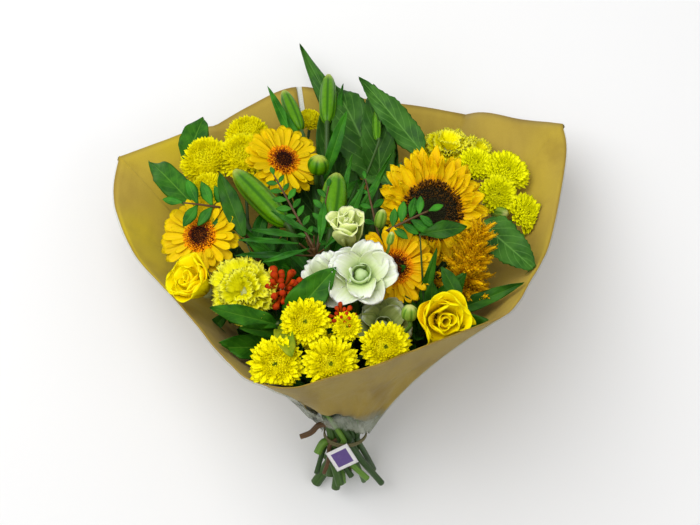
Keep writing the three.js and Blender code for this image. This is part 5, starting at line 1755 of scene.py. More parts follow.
@dataclass(frozen=True)
class Sunflower(Bloom):
    """A sunflower: layers of pointed petals round a broad disc of florets."""

    def parts(self, r: float) -> list[Part]:
        """Lists its petals."""
        long = Petal(
            0.54 * r, 0.25 * r, Outline.SPEAR, curl=-0.12, curl_from=2, wrap=0.6, groove=0.014 * r,
            wave=0.03 * r, rows=11, cols=7,
        )
        bent = replace(long, length=0.48 * r, curl=0.4, wrap=0.8, width=0.22 * r)
        low = replace(long, length=0.56 * r, curl=-0.35, wrap=0.5)
        short = replace(bent, length=0.36 * r, width=0.15 * r)
        spread, ruffle = (0.14, 6.0, 0.08, 0.34), (2.0, 0.045)
        return [
            ring(low, 24, 0.4 * r, 12.0, 84, 0.0, spread, ruffle),
            ring(long, 24, 0.4 * r, 13.2, 80, 0.15, spread, ruffle),
            ring(bent, 24, 0.42 * r, 14.2, 73, 0.27, spread, ruffle),
            ring(short, 28, 0.46 * r, 14.8, 60, 0.1, (0.2, 11.0, 0.16, 0.5), ruffle),
        ]

    def extras(self, r: float, sheaf: Sheaf, place: Matrix) -> None:
        """Draws out the petals on its far side, which are the longest."""
        edge = self.head.joint[1] + 0.4 * r
        sheaf.move(lambda points: points + np.outer(0.4 * np.maximum(points[:, 1] - edge, 0), (0, 1, 0)))

    def disc(self, r: float) -> list[Part]:
        """Lists the florets of its disc."""
        floret, long = bead(0.045 * r, 0.021 * r, 4), bead(0.085 * r, 0.026 * r, 4)
        a, b, c, ways = 0.22 * r, 0.41 * r, 0.5 * r, {"spread": (0.1, 12.0, 0.2, 0.3)}
        return [
            Whorl(floret, 700, (0.0, a), (12.6, 14.4), (2, 10), (0.7, 0.9), 0.5, **ways),
            Whorl(floret, 1100, (a, b), (14.4, 15.6), (4, 14), (0.9, 1.1), 0.8, kind=0.5, **ways),
            Whorl(long, 620, (b, c), (15.4, 14.0), (10, 40), (0.9, 1.1), kind=1.0, **ways),
        ]

    def build(self) -> None:
        """Makes its petals and its disc."""
        super().build()
        r = self.size
        disc = self.gather(self.disc(r), EYES["sunflower"])
        dish = [(0, 6), (0.4 * r, 8), (0.5 * r, 12), (0.49 * r, 14), (0.41 * r, 15.6), (0.22 * r, 14.4)]
        disc.add(turned([*dish, (0.1 * r, 13.1), (0, 12.7)], 48), self.head.place(), (0.5, 0.3, 0.3))
        disc.piece(self.head.name + "_florets", EYES["sunflower"], "sunflower_disc", "sunflower_disc")


@dataclass(frozen=True)
class Pompon(Bloom):
    """A ball of short petals that curl in."""

    def parts(self, r: float) -> list[Part]:
        """Lists its petals."""
        spoon = Petal(0.4 * r, 0.13 * r, Outline.SPOON, 0.8, 1.4, wrap=1.0, thickness=0.4, rows=5, cols=4)
        ways = {"spread": (0.08, 9.0, 0.16, 0.3), "ruffle": (0.5, 0.1)}
        return [
            Whorl(spoon, 150, (0.0, 0.4 * r), (0.86 * r, 0.72 * r), (2, 42), (0.6, 0.8), 0.5, **ways),
            Whorl(spoon, 300, (0.4 * r, 0.62 * r), (0.72 * r, 0.2 * r), (40, 106), (0.8, 1.2), 0.8, **ways),
        ]

    def extras(self, r: float, sheaf: Sheaf, place: Matrix) -> None:
        """Adds the core."""
        core = ((0, 0), (0.4, 0.05), (0.68, 0.24), (0.68, 0.5), (0.44, 0.82), (0, 0.95))
        sheaf.add(turned(sized(r, core), 18), place, (0.2, 0.1, 0.0))


@dataclass(frozen=True)
class Spray(Bloom):
    """A small chrysanthemum: rows of blunt petals round a dense dome of florets with a tiny green centre."""

    def parts(self, r: float) -> list[Part]:
        """Lists its petals and florets."""
        ray = Petal(0.84 * r, 0.2 * r, Outline.STRAP, 0.22, 1.5, wrap=0.8, groove=0.012 * r, thickness=0.4)
        upper = replace(ray, length=0.72 * r, width=0.18 * r)
        short = replace(ray, length=0.34 * r, width=0.11 * r, curl=0.7, rows=5, cols=4)
        spread, ruffle = (0.1, 4.0, 0.07, 0.25), (0.7, 0.07)
        dome = {"bias": 0.58, "spread": (0.1, 9, 0.14, 0.3), "ruffle": ruffle}
        centre = {"bias": 0.5, "spread": (0.1, 10, 0.2, 0.4), "kind": 1.0}
        return [
            ring(ray, 28, 0.14 * r, 0.14 * r, 79, 0.0, spread, ruffle),
            ring(replace(ray, length=0.8 * r), 28, 0.15 * r, 0.2 * r, 73, 0.12, spread, ruffle),
            ring(upper, 28, 0.15 * r, 0.26 * r, 66, 0.05, spread, ruffle),
            Whorl(short, 210, (0.06 * r, 0.56 * r), (0.46 * r, 0.26 * r), (8, 66), (0.5, 1.15), **dome),
            Whorl(bead(0.1 * r, 0.04 * r), 16, (0.0, 0.04 * r), (0.46 * r, 0.44 * r), (4, 30), **centre),
        ]

    def extras(self, r: float, sheaf: Sheaf, place: Matrix) -> None:
        """Adds the core."""
        core = ((0, 0), (0.3, 0.04), (0.58, 0.2), (0.5, 0.33), (0.25, 0.43), (0, 0.47))
        sheaf.add(turned(sized(r, core), 18), place, (0.6, 0.1, 0.0))


@dataclass(frozen=True)
class Rose(Bloom):
    """A rose: broad petals that wrap each other, the outer ones rolled back."""

    def parts(self, r: float) -> list[Part]:
        """Lists its petals."""
        outer = Petal(
            1.7 * r, 2.1 * r, Outline.SHELL, curl=-0.6, curl_from=4, wrap=1.35, wave=0.012 * r, arch=0.12,
            thickness=0.6, rows=18, cols=17,
        )
        middle = replace(outer, length=1.62 * r, width=1.6 * r, curl=-0.45, wrap=1.6)
        inner = replace(outer, length=1.52 * r, width=1.1 * r, curl=-0.15, wrap=2.1, wave=0.0)
        heart = replace(inner, length=1.44 * r, width=0.9 * r)
        lean = self.head.form - self.seed * 0.7  # where its largest petal stands
        loose, tight = (0.16, 4.0, 0.04, 0.14), (0.2, 2.0, 0.03, 0.12)
        return [
            ring(replace(outer, length=1.9 * r), 1, 0.1 * r, 0.0, 27, lean, loose, (1.6, 0.03)),
            ring(outer, 4, 0.1 * r, 0.0, 29, lean + 0.8, loose, (1.6, 0.03)),
            ring(outer, 3, 0.1 * r, 0.0, 23, lean + 0.3, loose, (1.4, 0.03)),
            ring(middle, 3, 0.08 * r, 0.02 * r, 16, lean + 1.1, loose, (1.2, 0.035)),
            ring(inner, 3, 0.07 * r, 0.04 * r, 9, lean + 0.2, tight, (0.8, 0.04)),
            ring(heart, 3, 0.05 * r, 0.06 * r, 3, lean + 1.2, tight, (0.6, 0.05)),
        ]


@dataclass(frozen=True)
class Carnation(Bloom):
    """A carnation: a dome of ruffled petals with toothed tips."""

    def parts(self, r: float) -> list[Part]:
        """Lists its petals."""
        fan = Petal(
            0.98 * r, 1.0 * r, Outline.FAN, curl=-0.3, curl_from=2, wrap=0.5, wave=0.08 * r, waves=6,
            fringe=0.03, arch=0.12, thickness=0.4, rows=10, cols=21,
        )
        ways = {"bias": 0.6, "spread": (0.3, 9.0, 0.08, 0.4), "ruffle": (0.14 * r, 2.4 / r)}
        return [Whorl(fan, 27, (0.02 * r, 0.14 * r), (0.04 * r, 0.0), (8, 84), (0.8, 1.0), **ways)]


@dataclass(frozen=True)
class Lisianthus(Bloom):
    """A lisianthus: wavy petals round a green throat with a folded cup, or a closed swirl."""

    def parts(self, r: float) -> list[Part]:
        """Lists its petals."""
        return self.open(r) if self.head.form >= 0.5 else self.swirl(r)

    def swirl(self, r: float) -> list[Part]:
        """Lists the petals of a flower that is still rolled up."""
        outer = Petal(
            1.95 * r, 1.9 * r, Outline.SHELL, curl=-0.9, curl_from=5, wrap=1.5, wave=0.03 * r, arch=0.2,
            rows=16, cols=15,
        )
        inner = replace(outer, width=1.3 * r, wrap=2.0, curl=-0.4)
        heart = replace(outer, width=0.8 * r, wrap=2.2, length=1.8 * r, curl=0.0)
        return [
            ring(outer, 3, 0.08 * r, 0.0, 24, 0.0, (0.1, 4, 0.04, 0.4), (1.6, 0.05)),
            ring(outer, 3, 0.06 * r, 0.0, 16, 0.9, (0.1, 4, 0.04, 0.4), (1.4, 0.05)),
            ring(inner, 3, 0.04 * r, 0.0, 9, 0.3, (0.1, 3, 0.04, 0.5), (1.0, 0.06)),
            ring(heart, 3, 0.02 * r, 0.0, 3, 0.2, (0.1, 2, 0.04, 0.5)),
        ]

    def open(self, r: float) -> list[Part]:
        """Lists the petals of an open flower."""
        outer = Petal(
            1.14 * r, 1.16 * r, Outline.SHELL, curl=-0.95, curl_from=2, wrap=0.85, wave=0.05 * r, arch=0.1,
            rows=16, cols=17,
        )
        inner = replace(outer, length=1.02 * r, width=1.0 * r, curl=-0.8, wrap=1.0)
        fold = Petal(0.6 * r, 0.8 * r, Outline.SHELL, curl=0.55, wrap=1.25, arch=0.1, rows=11, cols=11)
        spread = (0.12, 5, 0.05, 0.2)
        return [
            ring(outer, 5, 0.07 * r, 0.0, 46, 0.0, spread, (0.12 * r, 0.8 / r)),
            ring(inner, 3, 0.06 * r, 0.02 * r, 37, 0.6, spread, (0.1 * r, 0.9 / r)),
            ring(fold, 3, 0.14 * r, 0.05 * r, 27, 0.4, (0.15, 3, 0.06, 0.15), (0.02 * r, 2 / r), 0.5),
        ]

    def extras(self, r: float, sheaf: Sheaf, place: Matrix) -> None:
        """Adds the middle of an open flower's throat."""
        if self.head.form >= 0.5:
            core = ((0, 0.02), (0.12, 0.06), (0.19, 0.2), (0.21, 0.34), (0.17, 0.47), (0.09, 0.55), (0, 0.57))
            sheaf.add(turned(sized(r, core), 24, ribs=3, depth=0.2), place, (0.5, 0.5, 0.6))


@dataclass(frozen=True)
class Plume(Bloom):
    """A feathery plume: a middle spike with side spikes, all covered in tiny florets."""

    floret: Petal = Petal(4.0, 1.5, Outline.SPEAR, curl=0.5, wrap=0.8, thickness=0.4, rows=3, cols=3)
    spikes: int = 64

    def spindle(self, width: float, bend: PAIR, length: float, shares: Iterable[float]) -> list[PAIR]:
        """Gives the profile of a spike whose sides follow a stretch of a sine: its start and its span."""
        rings = [(width * math.sin(math.pi * (bend[0] + bend[1] * s)), length * s) for s in shares]
        return [(0, 0), *rings, (0, length)]

    def parts(self, r: float) -> list[Part]:
        """Lists the middle spike."""
        body = self.spindle(0.4 * r, (0.15, 0.8), self.head.form, np.linspace(0.02, 0.94, 9))
        return [Fluff(body, self.floret, 0.2, lean=0.8, stray=0.8)]

    def extras(self, r: float, sheaf: Sheaf, place: Matrix) -> None:
        """Adds the side spikes and the cores."""
        length = self.head.form
        spike = self.spindle(3.0, (0.1, 0.82), 1.15 * r, np.linspace(0.05, 0.95, 6))
        fluff = Fluff(spike, self.floret, 0.2, lean=0.7, stray=0.9)
        sides = [replace(fluff, seed=self.seed + k).grow(self.finish) for k in range(3)]
        core = turned(spike, 8)
        for i in range(self.spikes):
            share = i / self.spikes
            tilt = math.radians(76 - 40 * share + 9 * math.sin(i * 2.1))
            reach = (1.16 - 0.5 * share) * (0.86 + 0.14 * math.sin(i * 5.3))
            spot = place @ Matrix.Translation((0, 0, 0.84 * share * length))
            turn = spot @ Matrix.Rotation(i * GOLDEN, 4, "Z") @ Matrix.Rotation(tilt, 4, "Y")
            turn = turn @ Matrix.Scale(reach, 4)
            sheaf.add(sides[i % 3], turn)
            sheaf.add(core, turn, (0.5, 0.2, 0.0))
        middle = [(0.26 * r, 0.4 * length), (0.16 * r, 0.8 * length), (0, 0.97 * length)]
        sheaf.add(turned([(0, -4), (2.6, -3), (3.4, 6), *middle], 12), place, (0.5, 0.15, 0.0))


@dataclass(frozen=True)
class ClubBuds(Bloom):
    """A cluster of club-shaped buds."""

    def parts(self, r: float) -> list[Part]:
        """Lists its buds."""
        length, shares = 0.84 * r, (0.02, 0.3, 0.5, 0.65, 0.78, 0.88, 0.96)
        profile = [(0, 0), *((0.16 * r * Outline.CLUB.width(s), length * s) for s in shares), (0, length)]
        club = laid(turned(profile, 12, ribs=6, depth=0.12))
        ways = {"bias": 0.7, "spread": (0.25, 12, 0.14, 0.4), "ruffle": (1.6, 0.05)}
        count = 3 * int(self.head.form)
        return [Whorl(club, count, (0.03 * r, 0.12 * r), (0.08 * r, 0.0), (6, 88), (0.7, 1.05), **ways)]


FULLER = {  # how much larger a bloom is than its plain solid, by what its name begins with
    "": 1.0, "pompon": 1.1, "chrysanthemum": 1.12, "carnation_right": 1.1, "santini": 1.04, "sunflower": 1.02,
}
BLOOMS = {
    Kind.GERBERA: Gerbera, Kind.SUNFLOWER: Sunflower, Kind.POMPON: Pompon, Kind.SPRAY: Spray, Kind.ROSE: Rose,
    Kind.CARNATION: Carnation, Kind.LISIANTHUS: Lisianthus, Kind.PLUME: Plume, Kind.CLUB: ClubBuds,
}


# ---------------------------------------------------------------- stems and foliage
@dataclass(frozen=True)
class BudFinish(Finish):
    """Ribbed buds: lighter ridges, darker grooves and a pale tip."""

    ridge: Colour
    groove: Colour
    tip: Colour
    roughness: float = 0.36

    def surface(self, graph: Graph) -> Wire:
        """Gives the shader."""
        across, along, _ = self.marks(graph, "blade")
        cloud = graph.noise(self.place(graph), 240.0, 2.0)
        colour = graph.blend(across.size().step(0.1, 0.75), self.groove, self.ridge)
        colour = graph.blend(cloud.step(0.35, 0.75) * 0.35, colour, self.groove)
        colour = graph.blend(along.step(0.78, 1.0) * 0.85, colour, self.tip)
        rough, glow = (cloud, self.roughness - 0.06, self.roughness + 0.12), (0.08, (0.002, 0.003, 0.001))
        return self.coat(graph, colour, rough, (cloud, 0.0006, 0.4), 0.2, glow)


BUDS = {
    "lily": BudFinish("lily_bud", rgb(88, 144, 0), rgb(50, 104, 0), rgb(186, 194, 70)),
    "small": BudFinish("small_bud", rgb(140, 172, 60), rgb(92, 136, 34), rgb(208, 212, 130)),
}


def arch(foot: Point, tip: Point, rise: float, s: np.ndarray) -> tuple[np.ndarray, np.ndarray]:
    """Gives the points and the directions of an arched line, at a column of shares along it."""
    foot, tip = np.array(foot, float), np.array(tip, float)
    middle = (foot + tip) / 2 + (0, 0, rise)
    line = foot * (1 - s) ** 2 + middle * 2 * s * (1 - s) + tip * s**2
    return line, (middle - foot) * (1 - s) + (tip - middle) * s


@dataclass(frozen=True)
class LeafBlade:
    """A leaf as a fine grid: arched, folded along its rib, waved at its edges and drawn in at its veins."""

    foot: Point
    tip: Point
    width: float
    bend: float
    outline: Outline
    toothed: bool = False
    fold: float = 0.28
    wave: float = 0.06
    veins: float = 8.0
    seed: int = 0
    rows: int = 34
    cols: int = 13

    def patch(self) -> Patch:
        """Gives the leaf's closed skin in layout millimetres."""
        v = np.linspace(0, 1, self.rows)[:, None] * np.ones((1, self.cols))
        u = np.linspace(-1, 1, self.cols)[None, :] * np.ones((self.rows, 1))
        length = np.linalg.norm(np.subtract(self.tip, self.foot))
        spine, ahead = arch(self.foot, self.tip, self.bend, v[:, :1])
        ahead /= np.linalg.norm(ahead, axis=1, keepdims=True)
        side = np.cross((0.0, 0.0, 1.0), ahead)
        side /= np.maximum(np.linalg.norm(side, axis=1, keepdims=True), 1e-6)
        face = np.cross(ahead, side)
        half = self.width * self.outline.width(v)
        if self.toothed:
            tooth = (v * 13 + 0.4 * np.sign(u)) % 1.0
            half = half * (1 - 0.13 * np.abs(u) ** 6 * tooth)
        off = np.abs(u)
        phase = self.seed * 1.7
        wave = self.wave * length * 0.3
        lift = half * off * self.fold + 2 * wave * np.sin(TURN * (2.3 * v + 0.18 * u) + phase) * off**2
        lift += wave * np.sin(TURN * 1.1 * v + phase * 2)
        line = (v * self.veins - off * 1.8) % 1.0 - 0.5
        inside = smooth(1, 0.6, off) * smooth(0.02, 0.1, v) * smooth(1, 0.9, v)
        lift -= 0.035 * self.width * np.exp(-((line / 0.14) ** 2)) * inside
        lift -= 0.06 * self.width * np.exp(-((u / 0.12) ** 2))
        lift *= smooth(-0.05, 0.2, v)
        flat = spine[:, None, :] + side[:, None, :] * (half * u)[..., None]
        return lens(flat + face[:, None, :] * lift[..., None], u, v, 0.7)


CALYX = {  # radius and height as shares of the bloom's radius, from the foot of the bloom's green to its top
    Kind.GERBERA: ((0.08, -0.22), (0.13, -0.08), (0.22, 0.04), (0.27, 0.12), (0.26, 0.17)),
    Kind.SUNFLOWER: ((0.1, -0.24), (0.16, -0.1), (0.3, 0.08), (0.44, 0.16), (0.46, 0.2)),
    Kind.POMPON: ((0.09, -0.24), (0.16, -0.08), (0.3, 0.02), (0.4, 0.14)),
    Kind.SPRAY: ((0.09, -0.24), (0.14, -0.08), (0.24, 0.0), (0.28, 0.12)),
    Kind.ROSE: ((0.13, -0.42), (0.17, -0.3), (0.24, -0.12), (0.2, 0.02), (0.16, 0.06)),
    Kind.CARNATION: ((0.09, -0.86), (0.15, -0.76), (0.19, -0.4), (0.2, 0.02), (0.22, 0.1)),
    Kind.LISIANTHUS: ((0.06, -0.26), (0.1, -0.08), (0.15, 0.04), (0.13, 0.12)),
    Kind.CLUB: ((0.1, -0.3), (0.16, -0.1), (0.18, 0.06), (0.12, 0.14)),
}


BUD_SHAPE = (  # radius and height as shares of a closed bud's
    (0.3, 0.0), (0.62, 0.06), (0.86, 0.16), (0.96, 0.3), (1.0, 0.46), (0.97, 0.62), (0.84, 0.78), (0.6, 0.9),
    (0.34, 0.97),
)


def stalks(
    points: Sequence[Point],
    edges: Sequence[tuple[int, int]],
    thick: Sequence[float],
    finish: Finish,
    sides: int,
    joint: float,
    uneven: float,
) -> Grown:
    """Skins lines.

    Args:
        points: the points of all the lines.
        edges: which points follow each other.
        thick: the radius at each point.
        finish: the finish of the skin.
        sides: how many sides it has.
        joint: how far its joints stand out, as a share of the radius.
        uneven: how far its surface goes in and out.

    Returns:
        The skin.
    """
    inputs = {"Sides": sides, "Joint spacing": 31.0, "Joint": joint, "Unevenness": uneven}
    return STALKS.run(bed(points, edges, thick=thick), {**inputs, "Finish": finish.material()})


@dataclass(frozen=True)
class Greenery:
    """The stems of one plant with the green cups under its heads in one piece, its leaves and feather leaflets
    in another, and its closed buds in a third.
    """

    plant: Plant
    stem: StemFinish
    leaf: LeafFinish
    bud: BudFinish
    slot: str
    seed: int
    joint: float = 0.0
    sides: int = 14
    filler: int = 18  # how many low leaves stand on the main stem

    def line(self, stalk: Stalk) -> tuple[np.ndarray, np.ndarray]:
        """Gives a smooth stem line and its radius at each point."""
        curve = catmull(stalk.points, 6)
        spread = np.where(curve[:, 0] > 0, 0.26, -0.16)  # the cut ends reach further to the right
        curve[:, 0] *= 1 + spread * smooth(0, 45, -curve[:, 1])
        return curve, stalk.radius * (1.04 - 0.14 * np.linspace(0, 1, len(curve)))

    def slim(self, start: float, tip: Point, rise: float, radius: float) -> tuple[np.ndarray, np.ndarray]:
        """Gives the line of a leaf's own stalk or rib, and its radius at each point."""
        curve, _ = arch(self.along(start), tip, rise, np.linspace(0, 1, 15)[:, None])
        return curve, np.linspace(radius, 0.5 * radius, len(curve))

    def stems(self) -> None:
        """Makes the stems."""
        lines = [self.line(stalk) for stalk in self.plant.stalks()]
        lines += [self.slim(frond.start, frond.tip, 6, 1.5) for frond in self.plant.fronds]
        lines += [self.slim(leaf.start, leaf.joint, -4, 1.3) for leaf in self.plant.leaves if leaf.joint]
        points, edges, thick = [], [], []
        for curve, radii in lines:
            edges += [(i, i + 1) for i in range(len(points), len(points) + len(curve) - 1)]
            points += curve.tolist()
            thick += radii.tolist()
        sheaf = Sheaf()
        sheaf.add(stalks(points, edges, thick, self.stem, self.sides, self.joint, 0.5))
        for head in self.plant.heads:
            if head.kind in CALYX:
                r = head.size
                rings = [(x * r, y * r) for x, y in CALYX[head.kind]]
                sheaf.add(turned([(0, rings[0][1]), *rings, (0, rings[-1][1])], 18), head.place())
        sheaf.piece(self.plant.name + "_stalks", self.stem, self.slot, self.plant.name + "_stem")

    def along(self, share: float) -> np.ndarray:
        """Gives the point at a share of the main stem above the tie."""
        points = self.plant.main()[3:]
        steps = np.linalg.norm(np.diff(points, axis=0), axis=1)
        run = np.concatenate(((0,), np.cumsum(steps)))
        return np.array([np.interp(share * run[-1], run, points[:, k]) for k in range(3)])

    def undergrowth(self) -> list[Leaf]:
        """Gives the low leaves on the main stem, which keep inside the wrap and under the blooms, darkened as
        painted shade.
        """
        chances = np.random.default_rng(self.seed)
        leaves = []
        for i in range(self.filler):
            share = 0.24 + 0.64 * (i + 0.5) / self.filler
            foot, ahead = self.along(share), unit(self.along(share + 0.06) - self.along(share - 0.06))
            angle = i * GOLDEN + self.seed
            flank = unit(np.cross(ahead, (math.cos(angle), math.sin(angle), 0.3)))
            away = foot - NECK - ALONG * max(np.dot(foot - NECK, ALONG), 0)
            outward = np.dot(flank, unit(away))
            if outward > 0.1 and np.linalg.norm(away) > 45:
                flank = flank - unit(away) * 1.5 * outward
            length = chances.uniform(34, 60)
            tip = foot + unit(ahead * (1.3 - 0.6 * share) + unit(flank) * 0.8) * length
            if tip[2] < self.along(1.0)[2] + 4:
                width, bend = chances.uniform(6, 10), chances.uniform(2, 9)
                leaves.append(Leaf(share, tuple(tip), width, bend, youth_and_shade=-0.55))
        return leaves

    def foliage(self) -> None:
        """Makes the leaves and the feather leaflets."""
        sheaf = Sheaf()
        for i, leaf in enumerate((*self.plant.leaves, *self.undergrowth())):
            outline = Outline.HEART if leaf.toothed else Outline.LANCE if leaf.width < 9.5 else Outline.OVAL
            fold, wave = (0.34, 0.03) if leaf.width < 8.5 else (0.22, 0.055)
            rows, cols = (34, 13) if i < len(self.plant.leaves) else (14, 7)
            foot = self.along(leaf.start) if leaf.joint is None else leaf.joint
            blade = LeafBlade(
                foot, leaf.tip, leaf.width, leaf.bend, outline, leaf.toothed, fold, wave,
                seed=self.seed + 3 * i, rows=rows, cols=cols,
            )
            sheaf.add(blade.patch(), None, (0.5, (0.37 * (i + 1) * (self.seed + 2)) % 1.0, leaf.youth_and_shade))
        for frond in self.plant.fronds:
            size = frond.leaflet
            leaflet = Petal(size, 0.46 * size, Outline.LANCE, curl=-0.25, wrap=0.35, thickness=0.4, rows=11)
            rib, _ = self.slim(frond.start, frond.tip, 6, 1.5)
            ground = bed(rib, [(i, i + 1) for i in range(len(rib) - 1)])
            grown = FRONDS.repeat(
                ground, leaflet.patch(), self.leaf, self.seed, (1.2, 0.05),
                Pairs=frond.pairs, Start=0.16, Spread=1.6, Up=(0.0, 0.0, 1.0),
            )
            sheaf.add(grown)
        if sheaf.count:
            sheaf.move(WRAP.hold)
            sheaf.piece(self.plant.name + "_leaves", self.leaf, self.slot, self.plant.name + "_stem")

    def buds(self) -> None:
        """Makes the closed buds."""
        sheaf = Sheaf()
        for i, bud in enumerate(self.plant.buds):
            out = np.subtract(bud.tip, bud.foot)
            length, r = float(np.linalg.norm(out)), bud.radius * 0.9
            profile = [(0, -0.5), *((r * x, length * y) for x, y in BUD_SHAPE), (0, length * 1.01)]
            place = Head("bud", r, bud.foot, out).place(0.6 * i)
            sheaf.add(turned(profile, 48, ribs=6 if r > 7.5 else 5, depth=0.13), place)
        if sheaf.count:
            sheaf.piece(self.plant.name + "_closed_buds", self.bud, self.slot, self.plant.name + "_stem")

    def build(self) -> None:
        """Makes all its pieces."""
        self.stems()
        self.foliage()
        self.buds()


# ---------------------------------------------------------------- the wrap, the tie and the sachet
def sheet(
    outer: np.ndarray,
    out: np.ndarray,
    thickness: float,
    floor: float,
    along: np.ndarray,
    slit: tuple[int, int] | None = None,
) -> Sheaf:
    """Makes a closed sheet of two faces from a grid that runs round the bunch, none of it under the floor.

    Args:
        outer: the outer face's points.
        out: the directions away from the inside.
        thickness: how far the inner face is inside the outer one.
        floor: the least height of the outer face.
        along: each point's place, 0 at the tie's end and 1 at the rim.
        slit: a column whose cells stay open, and from which row.

    Returns:
        The sheet's skins.
    """
    inner = outer - out * thickness
    for face, least in ((outer, floor), (inner, floor + thickness)):
        face[..., 2] = np.maximum(face[..., 2], least)
    rows, cols, _ = outer.shape
    half = rows * cols
    index = np.arange(half).reshape(rows, cols)
    gap = {(r, slit[0]) for r in range(slit[1], rows - 1)} if slit else set()
    faces = []
    for c in range(cols):
        d = (c + 1) % cols
        for r in range(rows - 1):
            if (r, c) in gap:
                continue
            a, b, e, f = index[r, c], index[r, d], index[r + 1, d], index[r + 1, c]
            faces += [(a, b, e, f), (half + f, half + e, half + b, half + a)]
            if r == 0 or (r - 1, c) in gap:
                faces.append((a, half + a, half + b, b))
            if r == rows - 2 or (r + 1, c) in gap:
                faces.append((f, e, half + e, half + f))
            if (r, (c - 1) % cols) in gap:
                faces.append((a, f, half + f, half + a))
            if (r, d) in gap:
                faces.append((b, half + b, half + e, e))
    around = np.tile(np.linspace(-1, 1, cols, endpoint=False), (rows, 1))
    blade = [np.stack((around, along, np.full_like(along, side)), axis=2).reshape(-1, 3) for side in (0.0, 1.0)]
    sheaf = Sheaf()
    sheaf.add(Patch(np.vstack((outer.reshape(-1, 3), inner.reshape(-1, 3))), faces, np.vstack(blade)))
    return sheaf


@dataclass(frozen=True)
class PaperWrap:
    """Brown paper round the bunch, with pleats, worn creases and a slit in its back edge."""

    cone: Cone = Cone()
    rows: int = 44
    edge: tuple[float, float, float] = (62.0, 40.0, 12.0)
    slit: int = 5  # how many rows it is deep
    thickness: float = 0.9
    inward: float = 0.98

    def build(self) -> None:
        """Makes the paper."""
        share, points, out, along = self.cone.grid(self.rows, self.edge, 1.0)
        depth = self.inward + 1.5 * self.cone.play(share) - self.cone.relief(share)
        outer = points - out * depth[..., None]
        paper = sheet(outer, out, self.thickness, self.inward, along, (0, self.rows - self.slit))
        paper.piece("kraft_paper_sheet", PAPER, "kraft_paper", "kraft_paper")


@dataclass(frozen=True)
class FilmSleeve:
    """The clear sleeve over the paper, with a skirt below the tie and finer wrinkles."""

    cone: Cone = Cone()
    rows: int = 46
    edge: tuple[float, float, float] = (33.0, 24.0, -5.0)
    top: float = 1.002
    thickness: float = 0.35

    def build(self) -> None:
        """Makes the film."""
        share, points, out, along = self.cone.grid(self.rows, self.edge, self.top)
        fine = np.clip(np.abs(self.cone.folds(share, 11, 1.5, 1.2)), 0, 1.6)
        relief = np.minimum(self.cone.relief(share) - 1.5 * self.cone.play(share) + fine, 0.4)
        film = sheet(points + out * relief[..., None], out, self.thickness, 0.0, along)
        film.piece("film_wrap", FILM, "clear_film", "film_sleeve")


@dataclass(frozen=True)
class TieBand:
    """A rubber band wound a few times round the stems."""

    radius: float = 21.6
    windings: int = 3
    spacing: float = 1.5
    strand: float = 0.9
    corners: int = 72

    def build(self) -> None:
        """Makes the windings."""
        points, edges = [], []
        for k in range(self.windings):
            start = len(points)
            for i in range(self.corners):
                angle = TURN * i / self.corners
                height = (k - (self.windings - 1) / 2) * self.spacing + 0.5 * math.sin(angle * 2 + k * 1.9)
                r = self.radius + 0.3 * math.sin(3 * angle + k)
                points.append(neck_point(r * math.cos(angle), r * math.sin(angle), height))
                edges.append((start + i, start + (i + 1) % self.corners))
        sheaf = Sheaf()
        sheaf.add(stalks(points, edges, [self.strand] * len(points), BAND, 10, 0.0, 0.1))
        sheaf.piece("rubber_band", BAND, "tie_band", "stem_tie")


@dataclass(frozen=True)
class FoodSachet:
    """A thin pillow-shaped sachet that stands on a corner."""

    side: float = 25.0
    thickness: float = 1.5
    turn: float = math.radians(29)  # of its lower edge
    lean: float = math.radians(9.73)  # away from the stems at its top
    lift: float = 12.0  # towards the tie, from where its solid is

    def build(self) -> None:
        """Makes the sachet."""
        n = 25
        u, v = np.meshgrid(np.linspace(-1, 1, n), np.linspace(-1, 1, n), indexing="ij")
        swell = (1 - u**4) * (1 - v**4)
        wrinkle = np.array([[noise.noise(Vector((a * 3.2, b * 3.2, 1.7))) for b in v[0]] for a in u[:, 0]])
        height = 0.5 * self.thickness * swell * (0.9 + 0.5 * wrinkle)
        half = self.side / 2
        c, s = math.cos(self.turn), math.sin(self.turn)
        x, y = (u * c - v * s) * half, (u * s + v * c) * half
        c, s = math.cos(self.lean), math.sin(self.lean)
        up, face = c * ALONG - s * FRONT, c * FRONT + s * ALONG
        middle = neck_point(-3, 27.8, -24) + up * self.lift
        plane = middle + x[..., None] * ACROSS + y[..., None] * up
        upper, under = (plane + (sign * height + 0.05)[..., None] * face for sign in (1, -1))
        sheaf = Sheaf()
        sheaf.add(closed(upper, under, u, (v + 1) / 2, below=1.0))
        sheaf.piece("sachet_pillow", SACHET, "sachet_film", "food_sachet")


BAND = BandFinish("rubber")
SACHET = SachetFinish("sachet_print")


# ---------------------------------------------------------------- the studio
def towards(place: Point, target: Point) -> Euler:
    """Gives the rotation of a lamp or a camera that looks from a place at another."""
    return (Vector(target) - Vector(place)).to_track_quat("-Z", "Y").to_euler()


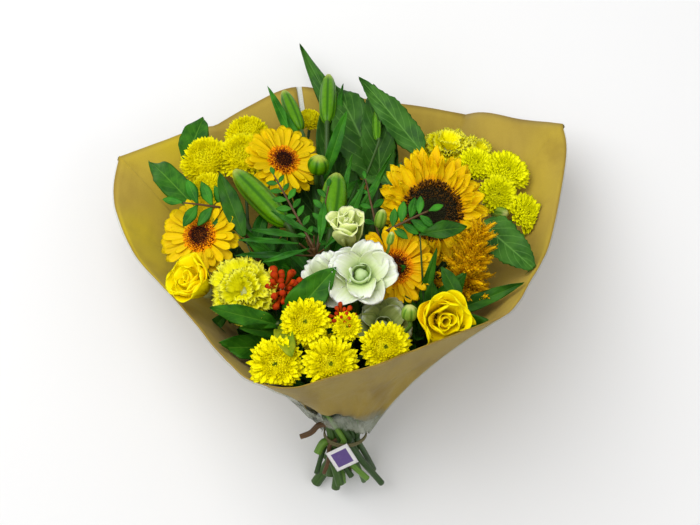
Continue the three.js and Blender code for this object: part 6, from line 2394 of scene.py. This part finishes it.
@dataclass(frozen=True)
class Studio:
    """The floor, the lights and the camera."""

    position: Point = (0.010545, -0.307065, 1.774933)
    target: Point = (0.010545, -0.020546, 0.15)
    lens: float = 84.86
    sky: float = 0.56  # how bright the white surroundings are

    def build(self) -> None:
        """Makes them."""
        scene = bpy.context.scene
        scene.view_settings.view_transform = "Standard"
        mesh = bpy.data.meshes.new("floor")
        mesh.from_pydata([(-4, -4, 0), (4, -4, 0), (4, 4, 0), (-4, 4, 0)], [], [(0, 1, 2, 3)])
        mesh.materials.append(FloorFinish("floor_surface").material())
        floor = bpy.data.objects.new("floor", mesh)
        scene.collection.objects.link(floor)
        world = bpy.data.worlds.new("studio")
        world.use_nodes = True
        sky = world.node_tree.nodes["Background"].inputs
        sky["Color"].default_value = (1, 1, 1, 1)
        sky["Strength"].default_value = self.sky
        scene.world = world
        self.light("key", (-0.7, 0.5, 1.9), 1.7, 31.0)
        self.light("fill", (1.2, -0.9, 1.5), 1.4, 6.0)
        camera = bpy.data.objects.new("camera", bpy.data.cameras.new("camera"))
        camera.data.lens = self.lens
        camera.data.sensor_width = 36.0
        camera.location = self.position
        camera.rotation_euler = towards(self.position, self.target)
        scene.collection.objects.link(camera)
        scene.camera = camera

    def light(self, name: str, place: Point, size: float, power: float) -> None:
        """Adds a soft lamp that points at the bouquet."""
        data = bpy.data.lights.new(name, "AREA")
        data.size = size
        data.energy = power
        lamp = bpy.data.objects.new(name, data)
        lamp.location = place
        lamp.rotation_euler = towards(place, (0, 0, 0.12))
        bpy.context.scene.collection.objects.link(lamp)


# ---------------------------------------------------------------- the bouquet
GREENS = {  # stem finish, leaf finish, bud finish, slot, how far the joints stand out
    "sunflower": ("thick", "sunflower", "small", "sunflower_green", 0.0),
    "gerbera": ("pale", "broad", "small", "gerbera_green", 0.0),
    "pompon": ("deep", "broad", "small", "chrysanthemum_green", 0.0),
    "santini": ("deep", "dark", "small", "chrysanthemum_green", 0.0),
    "chrysanthemum": ("deep", "dark", "small", "chrysanthemum_green", 0.0),
    "carnation": ("grey", "broad", "small", "carnation_green", 0.35),
    "rose": ("deep", "broad", "small", "rose_green", 0.0),
    "lisianthus": ("pale", "broad", "small", "lisianthus_green", 0.0),
    "club_buds": ("woody", "dark", "small", "club_bud_green", 0.0),
    "plume": ("thick", "broad", "small", "plume_green", 0.0),
    "lily": ("thick", "lily", "lily", "lily_green", 0.0),
    "sunflower_leaves": ("thick", "sunflower", "small", "leaf_green", 0.0),
    "ruscus": ("deep", "broad", "small", "ruscus_green", 0.0),
    "pistacia": ("woody", "feather", "small", "feather_leaf", 0.0),
}


def main() -> None:
    """Builds the bouquet piece by piece."""
    Studio().build()
    PaperWrap().build()
    FilmSleeve().build()
    TieBand().build()
    FoodSachet().build()
    seed = 0
    for plant in PLANTS:
        for head in plant.heads:
            seed += 1
            BLOOMS[head.kind](head, longest(PETALS, head.name), seed).build()
        stem, leaf, bud, slot, joint = longest(GREENS, plant.name)
        seed += 1
        Greenery(plant, STEMS[stem], LEAVES[leaf], BUDS[bud], slot, seed, joint).build()
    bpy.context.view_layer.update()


if __name__ == "__main__":
    main()
